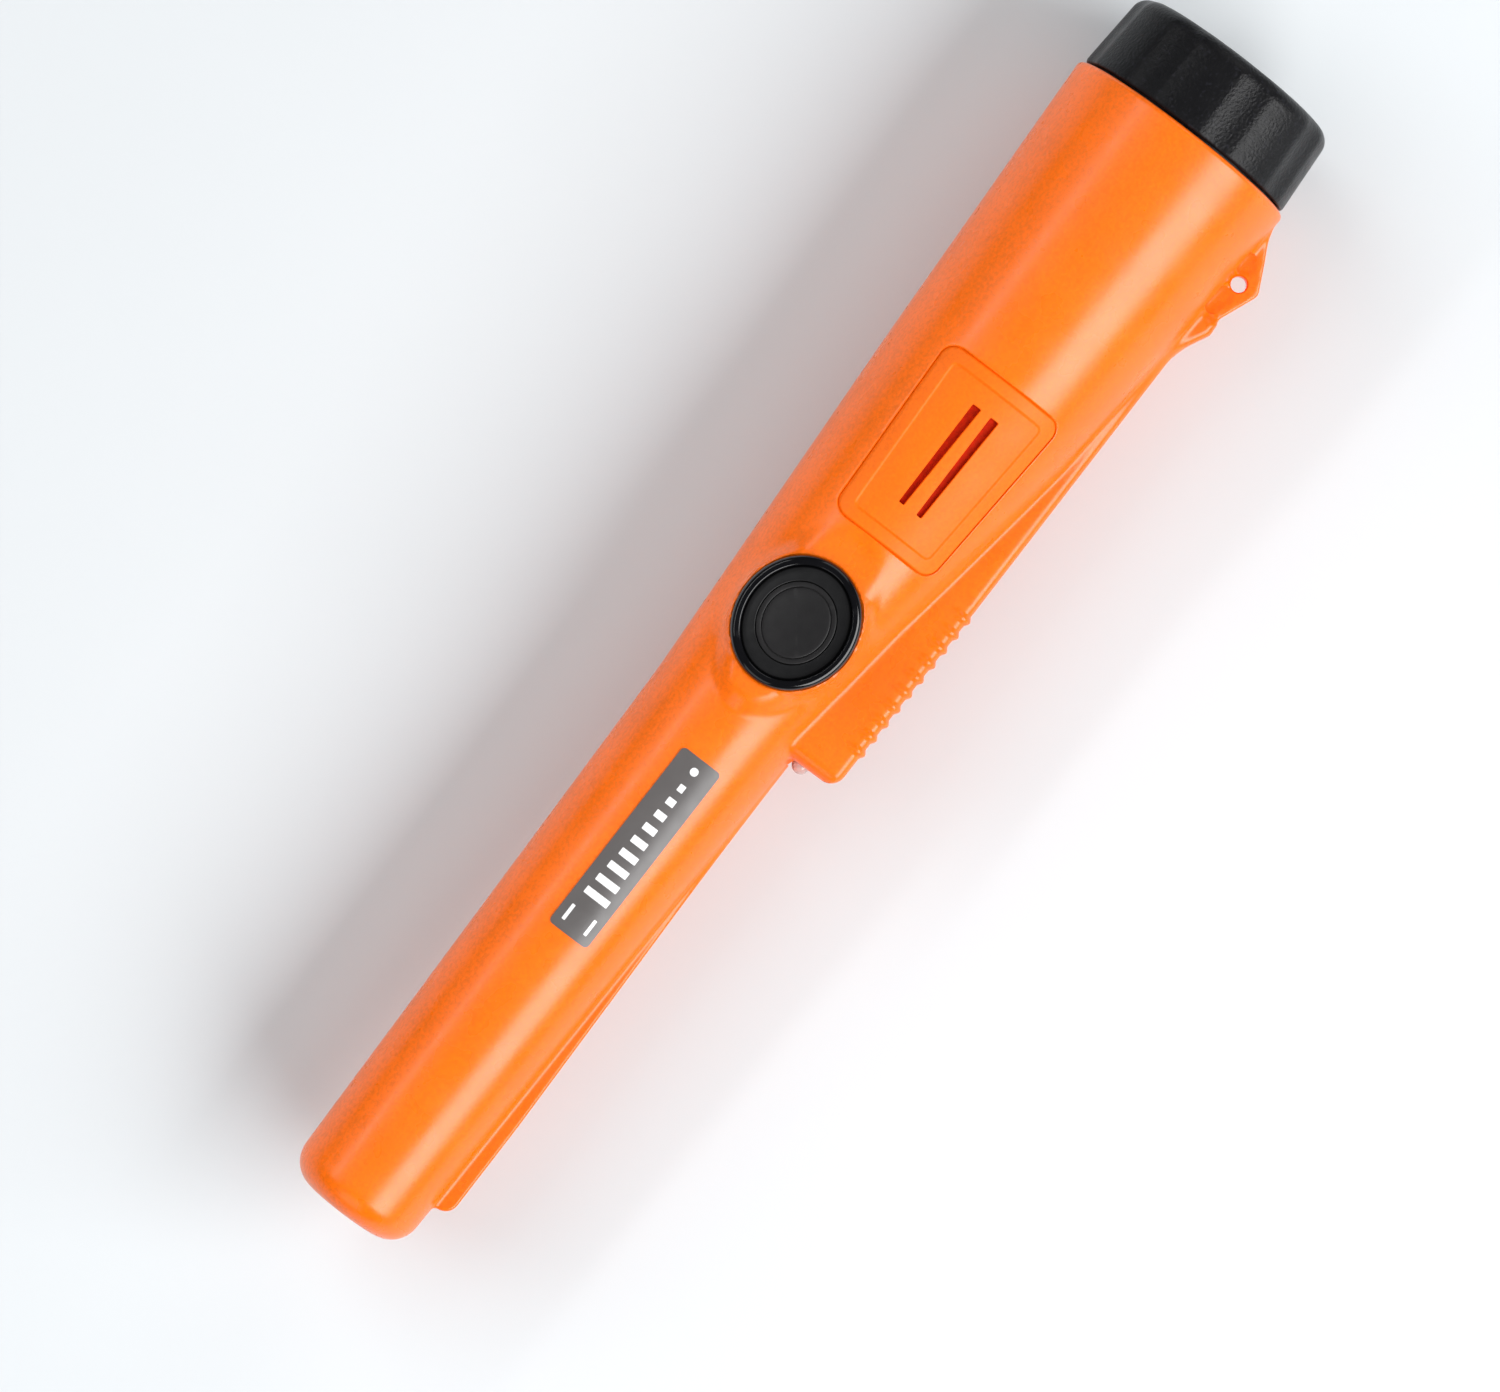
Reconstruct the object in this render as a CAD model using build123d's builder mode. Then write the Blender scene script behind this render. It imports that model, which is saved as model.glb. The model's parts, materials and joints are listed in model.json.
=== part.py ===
from build123d import *
import os
from math import cos, radians, sin

os.makedirs("parts", exist_ok=True)

# Frame: +X runs from the battery cap to the sensing tip, +Z out of the power button, +Y out of
# the keel. The origin is the centre of the cap's flat end face, on the handle's axis.

# ---- Outer shape -------------------------------------------------------------------------------
total_length = 235.0
rim_x = 14.8            # open end of the housing, against the cap
flare_x = 69.0          # the handle's taper is steeper from here to the shaft
shaft_x = 133.8         # start of the slim tip shaft
rim_r = 20.75
flare_r = 18.35
shaft_r = 13.15
tip_r = 11.2
shaft_y = -1.6          # the tip shaft's axis is offset from the handle's
tip_edge_r = 5.0
wall = 2.0
tip_cavity_x = 231.2    # the hollow ends here, behind a thicker tip
tip_cavity_r = 9.2

# ---- Keel, blade and lanyard lug ---------------------------------------------------------------
keel_front_x = 132.65
keel_taper_x = 106.0
keel_back_x = 40.0
keel_y = 20.1           # the keel's straight outer edge
keel_half = 7.15
keel_back_half = 2.2
keel_edge_r = 1.7
keel_front_r = 2.7
rib_pitch = 3.03
rib_count = 10
rib_first_x = 98.0
rib_r = 1.08
rib_height = 0.46
blade_half = 1.9
blade_foot_y = 8.2      # inside the shaft's wall
blade_end_x = 225.4
blade_end_r = 2.4
lug_foot_y = 16.0       # inside the handle's wall
lug_hole = (27.9, 21.75)
lug_hole_r = 1.35
web_half = 2.0
horn_half = 3.2

# ---- Power button ------------------------------------------------------------------------------
button_at = (115.1, -1.45)
boss_at = (114.4, -1.45)
boss_top = 15.0
boss_foot_z = 4.0       # inside the handle's wall
patch_size = (17.3, 9.2)        # half axes of the level patch round the button
patch_edge_r = 1.3
clearing_size = (15.6, 8.0)     # half axes of the part of it cut into the rising handle
clearing_draft = 40
seat_size = (11.9, 10.75)       # the ring's seat
seat_edge_r = 0.3
seat_floor_z = 14.25
seat_recess = (11.3, 10.15)
button_hole = (10.0, 8.85)
ring_size = (11.25, 10.1)
ring_low_z = 14.3
ring_height = 2.5
ring_edge_r = 0.9
ring_skirt = (9.9, 8.75)
ring_skirt_z = 11.0
ring_inside = (9.5, 8.35)
ring_ledge_z = 14.7
ring_bore = (8.3, 7.4)
surround_size = (9.4, 8.25)
surround_inside = (7.05, 6.45)
surround_low_z = 14.75
surround_height = 0.9
face_size = (6.85, 6.25)
face_flange = (7.9, 7.0)
face_low_z = 12.6
face_flange_height = 1.0
face_top_z = 15.45
face_edge_r = 0.4
groove_outer = (6.05, 5.45)
groove_inner = (5.75, 5.15)
groove_floor_z = 15.15
dish_r = 45.0
dish_floor_z = 15.2
plunger_r = 1.9
plunger_head_r = 4.0
plunger_head = 2.0
plunger_low_z = 6.6
stem_r = 1.7
stem_low_z = 3.9
switch_side = 6.0
switch_height = 3.5
switch_bore_r = 1.85
switch_bore_z = 3.2

# ---- Panel over the sounder, and label ----------------------------------------------------------
roll = 8.0              # the panel and the label are turned this far towards the keel
panel_x = 80.5
panel_y = -0.3
panel_length = 32.4
panel_tip_width = 19.6
panel_cap_width = 22.6
panel_corner_r = 2.4
panel_gap = 0.15
panel_ledge = 1.6       # width of the ledge the cover sits on
cover_thickness = 1.25
cover_seat_gap = 0.05
panel_inset = 2.3
panel_step = 0.35
block_low = 6.0         # the panel's blocks run between these distances from the axis
block_high = 24.0
slot_spacing = 3.56
slot_tip = (9.2, 0.5)   # reach and half width of a slot at its end nearer the button
slot_cap = (10.3, 0.81)
mesh_size = (24.0, 9.0, 1.5)
mesh_thickness = 0.45
label_x = 159.4
label_length = 35.4
label_width = 7.7
label_thickness = 0.2
label_corner_r = 0.8
film = 0.01             # glue line between a stuck-on piece and its surface

# ---- LED -----------------------------------------------------------------------------------------
led_y = 13.2
led_r = 1.5
led_flange_r = 1.9
led_flange_x = 126.2
led_flange = 1.1
led_dome_x = 132.7
led_hole_r = 1.55
led_hole_x = 127.0
lead_pitch = 2.54
led_lead_r = 0.25
led_lead_bend_r = 0.8
led_lead_drop_z = 3.4

# ---- Battery cap and its screw thread -----------------------------------------------------------
cap_end_r = 19.1
cap_flange_r = 20.0
cap_flange_x = 14.4
cap_edge_r = 2.8
cap_wall = 3.0
plug_end_x = 26.0
plug_bore_r = 16.2
thread_pitch = 3.0
thread_start_x = 18.4
thread_length = 7.6
ridge_foot = 0.7        # half widths of a thread ridge at its foot and at its crest
ridge_crest = 0.35
ridge_root = 0.2        # how far a ridge reaches into the wall that carries it
female_turns = 1.9
male_turns = 1.4
male_root_r = 17.3
male_crest_r = 18.1
female_root_r = 18.4
female_crest_r = 17.5
seal_bore_r = 18.83
seal_bore_depth = 3.2
seal_x = 16.3
seal_half = 1.0
seal_floor_r = 17.28
seal_land_r = 18.6
o_ring_centre_r = 18.05
o_ring_section_r = 0.73
pad_r = 14.0
pad_thickness = 3.4
flute_count = 8
flute_first_deg = 14.0
flute_r = 14.0
flute_depth = 0.5

# ---- Battery and electronics ---------------------------------------------------------------------
battery_x = 6.9
battery_body = 46.4
battery_width = 26.5
battery_height = 17.5
battery_corner_r = 2.6
can_wall = 0.35
plate = 0.8
plate_gap = 0.4
cell_r = 4.1
cell_gap = 0.15
cell_end_gap = 0.6
stud_reach = 2.1
stud_spacing = 12.7
positive_stud_r = 2.85
negative_stud_r = 4.0
negative_bore_r = 2.4
contact_x = 56.0
contact_length = 9.0
contact_width = 3.4
contact_gap = 0.03
bulkhead_x = 57.6
bulkhead_end_x = 60.6
bulkhead_r = 16.3
bay_mouth_r = 17.6
bay_end_r = 16.8
gland_x = 58.4
gland_width = 1.6
gland_r = 15.2
gland_seal_r = 15.96
screw_hole_r = 1.1
screw_head_r = 1.9
screw_head = 1.3
screw_r = 1.0
screw_length = 11.0
screw_bore_r = 1.02
screw_bore = 8.2
screw_rows = [(10.6, -6.2), (-10.6, -6.2)]
bulkhead_lead_places = [(-3.5, 3.5), (3.5, 3.5)]
bulkhead_lead_r = 0.95
board_x = 62.5
board_end_x = 150.0
board_y = -1.5
board_half = 8.8
board_thickness = 1.6
chassis_top = -1.2
chassis_thickness = 1.5
chassis_gap = 0.2
screw_block = (7.0, 5.0, 7.6)
screw_block_gap = 0.1
screw_block_lift = 1.2
pillar_r = 2.0
board_screw_places = [(68.0, 5.2), (106.0, -7.2), (145.0, -7.2)]
board_screw_head_r = 1.8
board_screw_head = 1.2
board_screw_r = 0.93
board_screw_bore_r = 0.95
board_hole_r = 1.15
controller_at = (131.0, -0.3)
controller_side = 9.0
controller_height = 1.6
pin_size = (0.4, 1.2, 0.3)
pin_pitch = 1.0
pins_per_side = 8
small_chip_places = [(98.0, 2.6), (106.0, 2.4), (141.5, -1.5), (122.6, -6.6)]
small_chip_size = (4.9, 3.9, 1.5)
passive_places = [(95.0, -6.5), (98.0, -6.5), (101.0, -6.5), (122.5, 3.6), (126.0, 5.2),
                  (137.0, 4.6), (137.0, -7.6), (146.5, 3.0), (146.5, 0.0)]
passive_size = (2.0, 1.25, 0.8)
capacitor_places = [(95.0, -2.2), (101.4, -2.2)]
capacitor_r = 2.5
capacitor_height = 6.0
capacitor_foot = (5.3, 5.3, 0.6)
capacitor_foot_height = 0.4
crystal_at = (131.0, -8.2)
crystal_size = (9.0, 3.2)
crystal_height = 3.0

# ---- Sounder, motor and search coil --------------------------------------------------------------
sounder_low = 8.4       # distances from the handle's axis, along the panel's normal
sounder_height = 3.8
sounder_r = 9.0
sounder_bore_r = 8.0
sounder_chamber = (9.2, 2.2)    # where the hollow starts, and its height
sound_port_r = 3.0
disc_low = 10.0
disc_r = 7.95
disc_thickness = 0.3
ceramic_r = 5.5
ceramic_thickness = 0.2
foam_low = 12.2
foam_r = 7.4
foam_bore_r = 5.4
foam_thickness = 0.9
motor_y = 0.0
motor_z = -8.6
motor_x = 84.0
motor_length = 11.0
motor_r = 3.0
motor_bore_r = 2.7
motor_wall = 1.2
motor_nose = 0.8
motor_nose_bore_r = 0.55
motor_cap_r = 2.8
motor_cap = 0.9
motor_shaft_r = 0.5
motor_shaft_start = 1.6
motor_shaft_length = 14.9
armature_r = 2.2
armature_start = 2.4
armature_length = 6.4
weight_r = 2.9
weight_hub_r = 1.1
weight_bore_r = 0.505
weight_length = 3.6
weight_gap = 0.6
cradle_start = 1.5
cradle_side = 8.0
cradle_lip = 1.6
cradle_bore_r = 3.02
coil_x = 164.0
coil_end_x = 226.0
rod_r = 4.0
rod_overhang = 2.0
rod_gap = 0.1
former_r = 5.0
flange_r = 8.4
flange_width = 1.2
winding_r = 6.8
winding_gap = 0.05
rear_spacer = (157.0, 4.8, 9.9)     # start, length and radius
rear_spacer_bore_r = 6.6
front_spacer = (228.2, 2.8, 8.6)

# ---- Leads ---------------------------------------------------------------------------------------
lead_r = 0.5
lead_bend_r = 1.2
lead_rise_z = 3.5


def across(x, y=0.0, z=0.0):
    """Plane square to the long axis at x, facing the tip."""
    return Plane(origin=(x, y, z), x_dir=(0, 1, 0), z_dir=(1, 0, 0))


def rolled(x, y, distance):
    """Plane facing out of the barrel, turned by the panel's roll, at a distance from the axis."""
    normal = (0, sin(radians(roll)), cos(radians(roll)))
    foot = (x, y + distance * normal[1], distance * normal[2])
    return Plane(origin=foot, x_dir=(1, 0, 0), z_dir=normal)


def oval(size):
    """An ellipse of the given half axes round the button's centre."""
    with BuildSketch() as outline:
        with Locations(button_at):
            Ellipse(*size)
    return outline.sketch


def handle_shape(inset):
    """The handle's eccentric taper, with every radius smaller by inset."""
    with BuildPart() as shape:
        with BuildSketch(across(rim_x)):
            Circle(rim_r - inset)
        with BuildSketch(across(flare_x)):
            Circle(flare_r - inset)
        with BuildSketch(across(shaft_x, shaft_y)):
            Circle(shaft_r - inset)
        loft(ruled=True)
    return shape.part


def shaft_shape(inset, edge_r):
    """The tip shaft's taper to its rounded end, smaller by inset all over."""
    end = total_length - inset
    with BuildPart() as shape:
        with BuildSketch(Plane.XY) as profile:
            with BuildLine():
                Polyline(
                    (shaft_x, shaft_y),
                    (shaft_x, shaft_y + shaft_r - inset),
                    (end, shaft_y + tip_r - inset),
                    (end, shaft_y),
                    close=True,
                )
            make_face()
            corner = profile.vertices().group_by(Axis.X)[-1].sort_by(Axis.Y)[-1]
            fillet(corner, radius=edge_r)
        revolve(axis=Axis((0, shaft_y, 0), (1, 0, 0)))
    return shape.part


def keel_block():
    """The keel with its rounded outer edges, from inside the handle outwards."""
    base_y = 4.0
    with BuildPart() as shape:
        with BuildSketch(Plane(origin=(0, base_y, 0), x_dir=(1, 0, 0), z_dir=(0, 1, 0))) as plan:
            with BuildLine():
                Polyline(
                    (keel_back_x, -keel_back_half),
                    (keel_taper_x, -keel_half),
                    (keel_front_x, -keel_half),
                    (keel_front_x, keel_half),
                    (keel_taper_x, keel_half),
                    (keel_back_x, keel_back_half),
                    close=True,
                )
            make_face()
            fillet(plan.vertices().group_by(Axis.X)[-1], radius=keel_front_r)
        extrude(amount=keel_y - base_y)
        fillet(shape.faces().sort_by(Axis.Y)[-1].edges(), radius=keel_edge_r)
    return shape.part


def boss_block(centre, size, edge_r):
    """An oval pedestal from inside the handle's wall up to the boss's top."""
    with BuildPart() as shape:
        with BuildSketch(Plane.XY.offset(boss_foot_z)):
            with Locations(centre):
                Ellipse(*size)
        extrude(amount=boss_top - boss_foot_z)
        fillet(shape.faces().sort_by(Axis.Z)[-1].edges(), radius=edge_r)
    return shape.part


def helical_ridge(start_x, turns, root_r, crest_r):
    """One ridge of the right-hand cap thread, reaching slightly into the wall that carries it."""
    outwards = 1 if crest_r > root_r else -1
    foot_r = root_r - ridge_root * outwards
    path = Helix(
        pitch=thread_pitch,
        height=turns * thread_pitch,
        radius=foot_r,
        center=(start_x, 0, 0),
        direction=(1, 0, 0),
    )
    start = path @ 0
    radial = Vector(0, start.Y, start.Z).normalized()
    with BuildPart() as shape:
        with BuildSketch(Plane(origin=start, x_dir=radial * outwards, z_dir=path % 0)):
            with BuildLine():
                Polyline(
                    (0, -ridge_foot),
                    (abs(crest_r - foot_r), -ridge_crest),
                    (abs(crest_r - foot_r), ridge_crest),
                    (0, ridge_foot),
                    close=True,
                )
            make_face()
        sweep(path=path, is_frenet=True)
    return shape.part


def panel_outline(inset):
    """The panel's rounded trapezoid, smaller by inset all round, centred on the panel."""
    half_length = panel_length / 2
    with BuildSketch() as outline:
        with BuildLine():
            Polyline(
                (half_length, -panel_tip_width / 2),
                (half_length, panel_tip_width / 2),
                (-half_length, panel_cap_width / 2),
                (-half_length, -panel_cap_width / 2),
                close=True,
            )
        make_face()
        fillet(outline.vertices(), radius=panel_corner_r)
        if inset:
            offset(amount=-inset, mode=Mode.REPLACE)
    return outline.sketch


def panel_prism(inset, low, high):
    """The panel's outline as a block between two distances from the axis."""
    with BuildPart() as prism:
        with BuildSketch(rolled(panel_x, panel_y, low)):
            add(panel_outline(inset))
        extrude(amount=high - low)
    return prism.part


handle_outside = handle_shape(0)
cover_seat = handle_shape(cover_thickness + cover_seat_gap)
panel_recess = panel_prism(-panel_gap, block_low, block_high) - cover_seat
thread_end_x = thread_start_x + thread_length
rib_y = keel_y + rib_height - rib_r

# ---- Main housing --------------------------------------------------------------------------------
with BuildPart() as main_housing:
    add(handle_outside)
    add(shaft_shape(0, tip_edge_r))
    add(keel_block())
    # Finger ribs across the keel's outer edge
    for number in range(rib_count):
        rib_x = rib_first_x + number * rib_pitch
        with Locations((rib_x, rib_y, 0)):
            Cylinder(rib_r, 2 * (keel_half - keel_edge_r))
        with Locations((rib_x, rib_y, keel_edge_r - keel_half), (rib_x, rib_y, keel_half - keel_edge_r)):
            Sphere(rib_r)
    # Scraping blade along the tip shaft
    with BuildSketch(Plane.XY) as blade:
        with BuildLine():
            Polyline(
                (shaft_x, blade_foot_y),
                (shaft_x, 11.3),
                (182.0, 12.26),
                (207.0, 12.75),
                (blade_end_x, 12.75),
                (blade_end_x, blade_foot_y),
                close=True,
            )
        make_face()
        fillet(blade.vertices().group_by(Axis.X)[-1].sort_by(Axis.Y)[-1], radius=blade_end_r)
    extrude(amount=blade_half, both=True)
    # Lanyard lug: a thin web, and a thicker horn that runs into it from the keel
    with BuildSketch(Plane.XY):
        with BuildLine():
            Polyline(
                (17.9, lug_foot_y),
                (17.9, 20.5),
                (22.6, 23.0),
                (27.5, 25.4),
                (36.0, 22.0),
                (43.0, 19.6),
                (43.0, lug_foot_y),
                close=True,
            )
        make_face()
    extrude(amount=web_half, both=True)
    with BuildSketch(Plane.XY):
        with BuildLine():
            Polyline(
                (43.4, lug_foot_y),
                (43.4, 19.9),
                (37.2, 23.1),
                (35.4, 22.8),
                (34.6, lug_foot_y),
                close=True,
            )
        make_face()
    extrude(amount=horn_half, both=True)
    # Button boss, level across the rising handle
    add(boss_block(boss_at, patch_size, patch_edge_r))
    add(boss_block(button_at, seat_size, seat_edge_r))
    with BuildSketch(Plane.XY.offset(boss_top)):
        with Locations(boss_at):
            Ellipse(*clearing_size)
    extrude(amount=5, taper=-clearing_draft, mode=Mode.SUBTRACT)
    # Inside: electronics and battery space, then the mouth
    with BuildSketch(across(thread_end_x)):
        Circle(bay_mouth_r)
    with BuildSketch(across(bulkhead_x)):
        Circle(bay_end_r)
    with BuildSketch(across(flare_x)):
        Circle(flare_r - wall)
    with BuildSketch(across(shaft_x, shaft_y)):
        Circle(shaft_r - wall)
    with BuildSketch(across(tip_cavity_x, shaft_y)):
        Circle(tip_cavity_r)
    loft(ruled=True, mode=Mode.SUBTRACT)
    with BuildSketch(across(rim_x)):
        Circle(female_root_r)
    extrude(amount=thread_end_x - rim_x, mode=Mode.SUBTRACT)
    with BuildSketch(across(rim_x)):
        Circle(seal_bore_r)
    extrude(amount=seal_bore_depth, mode=Mode.SUBTRACT)
    # Button hole and the recess that takes its ring
    with BuildSketch(Plane.XY.offset(9)):
        add(oval(button_hole))
    extrude(amount=12, mode=Mode.SUBTRACT)
    with BuildSketch(Plane.XY.offset(seat_floor_z)):
        add(oval(seat_recess))
    extrude(amount=8, mode=Mode.SUBTRACT)
    # Seat and window for the sounder cover
    add(panel_recess, mode=Mode.SUBTRACT)
    add(panel_prism(panel_ledge, block_low, block_high), mode=Mode.SUBTRACT)
    # LED hole in the keel's front, with a channel for its leads
    with BuildSketch(across(led_hole_x, led_y)):
        Circle(led_hole_r)
    extrude(amount=8, mode=Mode.SUBTRACT)
    with Locations((122.6, 12.4, 0)):
        Box(9.4, 5.8, 4.6, mode=Mode.SUBTRACT)
    # Lanyard hole
    with BuildSketch(Plane.XY.offset(-6)):
        with Locations(lug_hole):
            Circle(lug_hole_r)
    extrude(amount=12, mode=Mode.SUBTRACT)
    # Thread for the cap
    add(helical_ridge(thread_start_x + 1.2, female_turns, female_root_r, female_crest_r))
main_housing.part.label = "main_housing"
export_step(main_housing.part, "parts/main_housing.step")

# ---- Sounder cover and the red mesh behind its slots ---------------------------------------------
mesh_low = handle_shape(cover_thickness + cover_seat_gap + mesh_thickness)
cover_inside = handle_shape(cover_thickness)
inner_field = panel_prism(panel_inset, block_low, block_high) - handle_shape(panel_step)

with BuildPart() as sounder_cover:
    add(panel_prism(0, block_low, block_high))
    add(handle_outside, mode=Mode.INTERSECT)
    add(cover_inside, mode=Mode.SUBTRACT)
    add(inner_field, mode=Mode.SUBTRACT)
    with BuildSketch(rolled(panel_x, panel_y, block_low)):
        for side in (-0.5, 0.5):
            with Locations((0, side * slot_spacing)):
                with BuildLine():
                    Polyline(
                        (slot_tip[0], -slot_tip[1]),
                        (slot_tip[0], slot_tip[1]),
                        (-slot_cap[0], slot_cap[1]),
                        (-slot_cap[0], -slot_cap[1]),
                        close=True,
                    )
                make_face()
    extrude(amount=block_high - block_low, mode=Mode.SUBTRACT)
sounder_cover.part.label = "sounder_cover"
export_step(sounder_cover.part, "parts/sounder_cover.step")

with BuildPart() as sound_mesh:
    with BuildSketch(rolled(panel_x, panel_y, block_low)):
        RectangleRounded(*mesh_size)
    extrude(amount=block_high - block_low)
    add(cover_seat, mode=Mode.INTERSECT)
    add(mesh_low, mode=Mode.SUBTRACT)
sound_mesh.part.label = "sound_mesh"
export_step(sound_mesh.part, "parts/sound_mesh.step")

# ---- Label ---------------------------------------------------------------------------------------
label_base = shaft_shape(-film, tip_edge_r)
label_face = shaft_shape(-label_thickness, tip_edge_r)

with BuildPart() as label_plate:
    with BuildSketch(rolled(label_x, shaft_y, block_low)):
        RectangleRounded(label_length, label_width, label_corner_r)
    extrude(amount=9)
    add(label_face, mode=Mode.INTERSECT)
    add(label_base, mode=Mode.SUBTRACT)
label_plate.part.label = "label_plate"
export_step(label_plate.part, "parts/label_plate.step")

# ---- Power button --------------------------------------------------------------------------------
button_x, button_y = button_at

with BuildPart() as button_bezel:
    with BuildSketch(Plane.XY.offset(ring_low_z)):
        add(oval(ring_size))
    extrude(amount=ring_height)
    fillet(button_bezel.faces().sort_by(Axis.Z)[-1].edges(), radius=ring_edge_r)
    with BuildSketch(Plane.XY.offset(ring_skirt_z)):
        add(oval(ring_skirt))
    extrude(amount=ring_low_z - ring_skirt_z + 0.2)
    with BuildSketch(Plane.XY.offset(ring_ledge_z)):
        add(oval(ring_inside))
    extrude(amount=ring_height, mode=Mode.SUBTRACT)
    with BuildSketch(Plane.XY.offset(ring_skirt_z)):
        add(oval(ring_bore))
    extrude(amount=ring_low_z - ring_skirt_z + ring_height, mode=Mode.SUBTRACT)
button_bezel.part.label = "button_bezel"
export_step(button_bezel.part, "parts/button_bezel.step")

with BuildPart() as button_surround:
    with BuildSketch(Plane.XY.offset(surround_low_z)):
        add(oval(surround_size))
        add(oval(surround_inside), mode=Mode.SUBTRACT)
    extrude(amount=surround_height)
    inner_edge = button_surround.faces().sort_by(Axis.Z)[-1].inner_wires()[0].edges()
    chamfer(inner_edge, length=0.5)
button_surround.part.label = "button_surround"
export_step(button_surround.part, "parts/button_surround.step")

with BuildPart() as button_cap:
    with BuildSketch(Plane.XY.offset(face_low_z)):
        add(oval(face_size))
    extrude(amount=face_top_z - face_low_z)
    fillet(button_cap.faces().sort_by(Axis.Z)[-1].edges(), radius=face_edge_r)
    with BuildSketch(Plane.XY.offset(face_low_z)):
        add(oval(face_flange))
    extrude(amount=face_flange_height)
    # Fine ring groove, and a shallow dish inside it for the fingertip
    with BuildSketch(Plane.XY.offset(groove_floor_z)):
        add(oval(groove_outer))
        add(oval(groove_inner), mode=Mode.SUBTRACT)
    extrude(amount=1, mode=Mode.SUBTRACT)
    with Locations((button_x, button_y, dish_floor_z + dish_r)):
        Sphere(dish_r, mode=Mode.SUBTRACT)
button_cap.part.label = "button_cap"
export_step(button_cap.part, "parts/button_cap.step")

with BuildPart() as button_plunger:
    with BuildSketch(Plane.XY.offset(plunger_low_z)):
        with Locations(button_at):
            Circle(plunger_r)
    extrude(amount=face_low_z - plunger_low_z)
    with BuildSketch(Plane.XY.offset(face_low_z)):
        with Locations(button_at):
            Circle(plunger_head_r)
    extrude(amount=-plunger_head)
button_plunger.part.label = "button_plunger"
export_step(button_plunger.part, "parts/button_plunger.step")

with BuildPart() as switch_stem:
    with BuildSketch(Plane.XY.offset(stem_low_z)):
        with Locations(button_at):
            Circle(stem_r)
    extrude(amount=plunger_low_z - stem_low_z)
switch_stem.part.label = "switch_stem"
export_step(switch_stem.part, "parts/switch_stem.step")

with BuildPart() as switch_body:
    with Locations((button_x, button_y, board_thickness + switch_height / 2)):
        Box(switch_side, switch_side, switch_height)
    fillet(switch_body.edges().filter_by(Axis.Z), radius=0.4)
    with BuildSketch(Plane.XY.offset(switch_bore_z)):
        with Locations(button_at):
            Circle(switch_bore_r)
    extrude(amount=switch_height, mode=Mode.SUBTRACT)
switch_body.part.label = "switch_body"
export_step(switch_body.part, "parts/switch_body.step")

# ---- LED -----------------------------------------------------------------------------------------
with BuildPart() as led:
    with BuildSketch(Plane.XY):
        with BuildLine():
            Polyline((led_flange_x, led_y), (led_flange_x, led_y + led_r), (led_dome_x, led_y + led_r))
            RadiusArc((led_dome_x, led_y + led_r), (led_dome_x + led_r, led_y), led_r)
            Line((led_dome_x + led_r, led_y), (led_flange_x, led_y))
        make_face()
    revolve(axis=Axis((0, led_y, 0), (1, 0, 0)))
    with BuildSketch(across(led_flange_x, led_y)):
        Circle(led_flange_r)
    extrude(amount=led_flange)
led.part.label = "led"
export_step(led.part, "parts/led.step")

with BuildPart() as led_leads:
    for side, foot_x in ((-lead_pitch / 2, 119.8), (lead_pitch / 2, 121.4)):
        with BuildLine() as route:
            FilletPolyline(
                (led_flange_x, led_y, side / 1.5),
                (123.5, led_y, side),
                (foot_x, 8.8, side),
                (foot_x, 8.8, led_lead_drop_z),
                (foot_x, 5.2, led_lead_drop_z),
                (foot_x, 5.2, board_thickness),
                radius=led_lead_bend_r,
            )
        with BuildSketch(Plane(origin=route.line @ 0, z_dir=route.line % 0)):
            Circle(led_lead_r)
        sweep(path=route.line)
led_leads.part.label = "led_leads"
export_step(led_leads.part, "parts/led_leads.step")

# ---- Battery cap, its O-ring and its pad ---------------------------------------------------------
flange_taper = (cap_flange_r - cap_end_r) / cap_flange_x

with BuildPart() as battery_cap:
    with BuildSketch(Plane.XY) as cap_profile:
        with BuildLine():
            Polyline(
                (0, 0),
                (0, cap_end_r),
                (cap_flange_x, cap_flange_r),
                (cap_flange_x, seal_land_r),
                (seal_x - seal_half, seal_land_r),
                (seal_x - seal_half, seal_floor_r),
                (seal_x + seal_half, seal_floor_r),
                (seal_x + seal_half, male_crest_r),
                (seal_x + 1.9, male_crest_r),
                (seal_x + 2.7, male_root_r),
                (plug_end_x, male_root_r),
                (plug_end_x, plug_bore_r),
                (cap_wall, plug_bore_r),
                (cap_wall, 0),
                close=True,
            )
        make_face()
        end_corner = cap_profile.vertices().group_by(Axis.X)[0].sort_by(Axis.Y)[-1]
        fillet(end_corner, radius=cap_edge_r)
    revolve(axis=Axis.X)
    # Shallow grip flutes that follow the flange's taper
    flute_start_x = -1.5
    for number in range(flute_count):
        angle = radians(flute_first_deg + number * 360 / flute_count)
        out_y = sin(angle)
        out_z = cos(angle)
        reach = cap_end_r + flute_start_x * flange_taper - flute_depth + flute_r
        with BuildSketch(
            Plane(
                origin=(flute_start_x, reach * out_y, reach * out_z),
                x_dir=(0, out_z, -out_y),
                z_dir=(1, flange_taper * out_y, flange_taper * out_z),
            )
        ):
            Circle(flute_r)
        extrude(amount=cap_flange_x - 0.1 - flute_start_x, mode=Mode.SUBTRACT)
    add(helical_ridge(thread_start_x + 2.7, male_turns, male_root_r, male_crest_r))
battery_cap.part.label = "battery_cap"
export_step(battery_cap.part, "parts/battery_cap.step")

with BuildPart() as cap_o_ring:
    with BuildSketch(Plane.XY):
        with Locations((seal_x, o_ring_centre_r)):
            Circle(o_ring_section_r)
    revolve(axis=Axis.X)
cap_o_ring.part.label = "cap_o_ring"
export_step(cap_o_ring.part, "parts/cap_o_ring.step")

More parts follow.
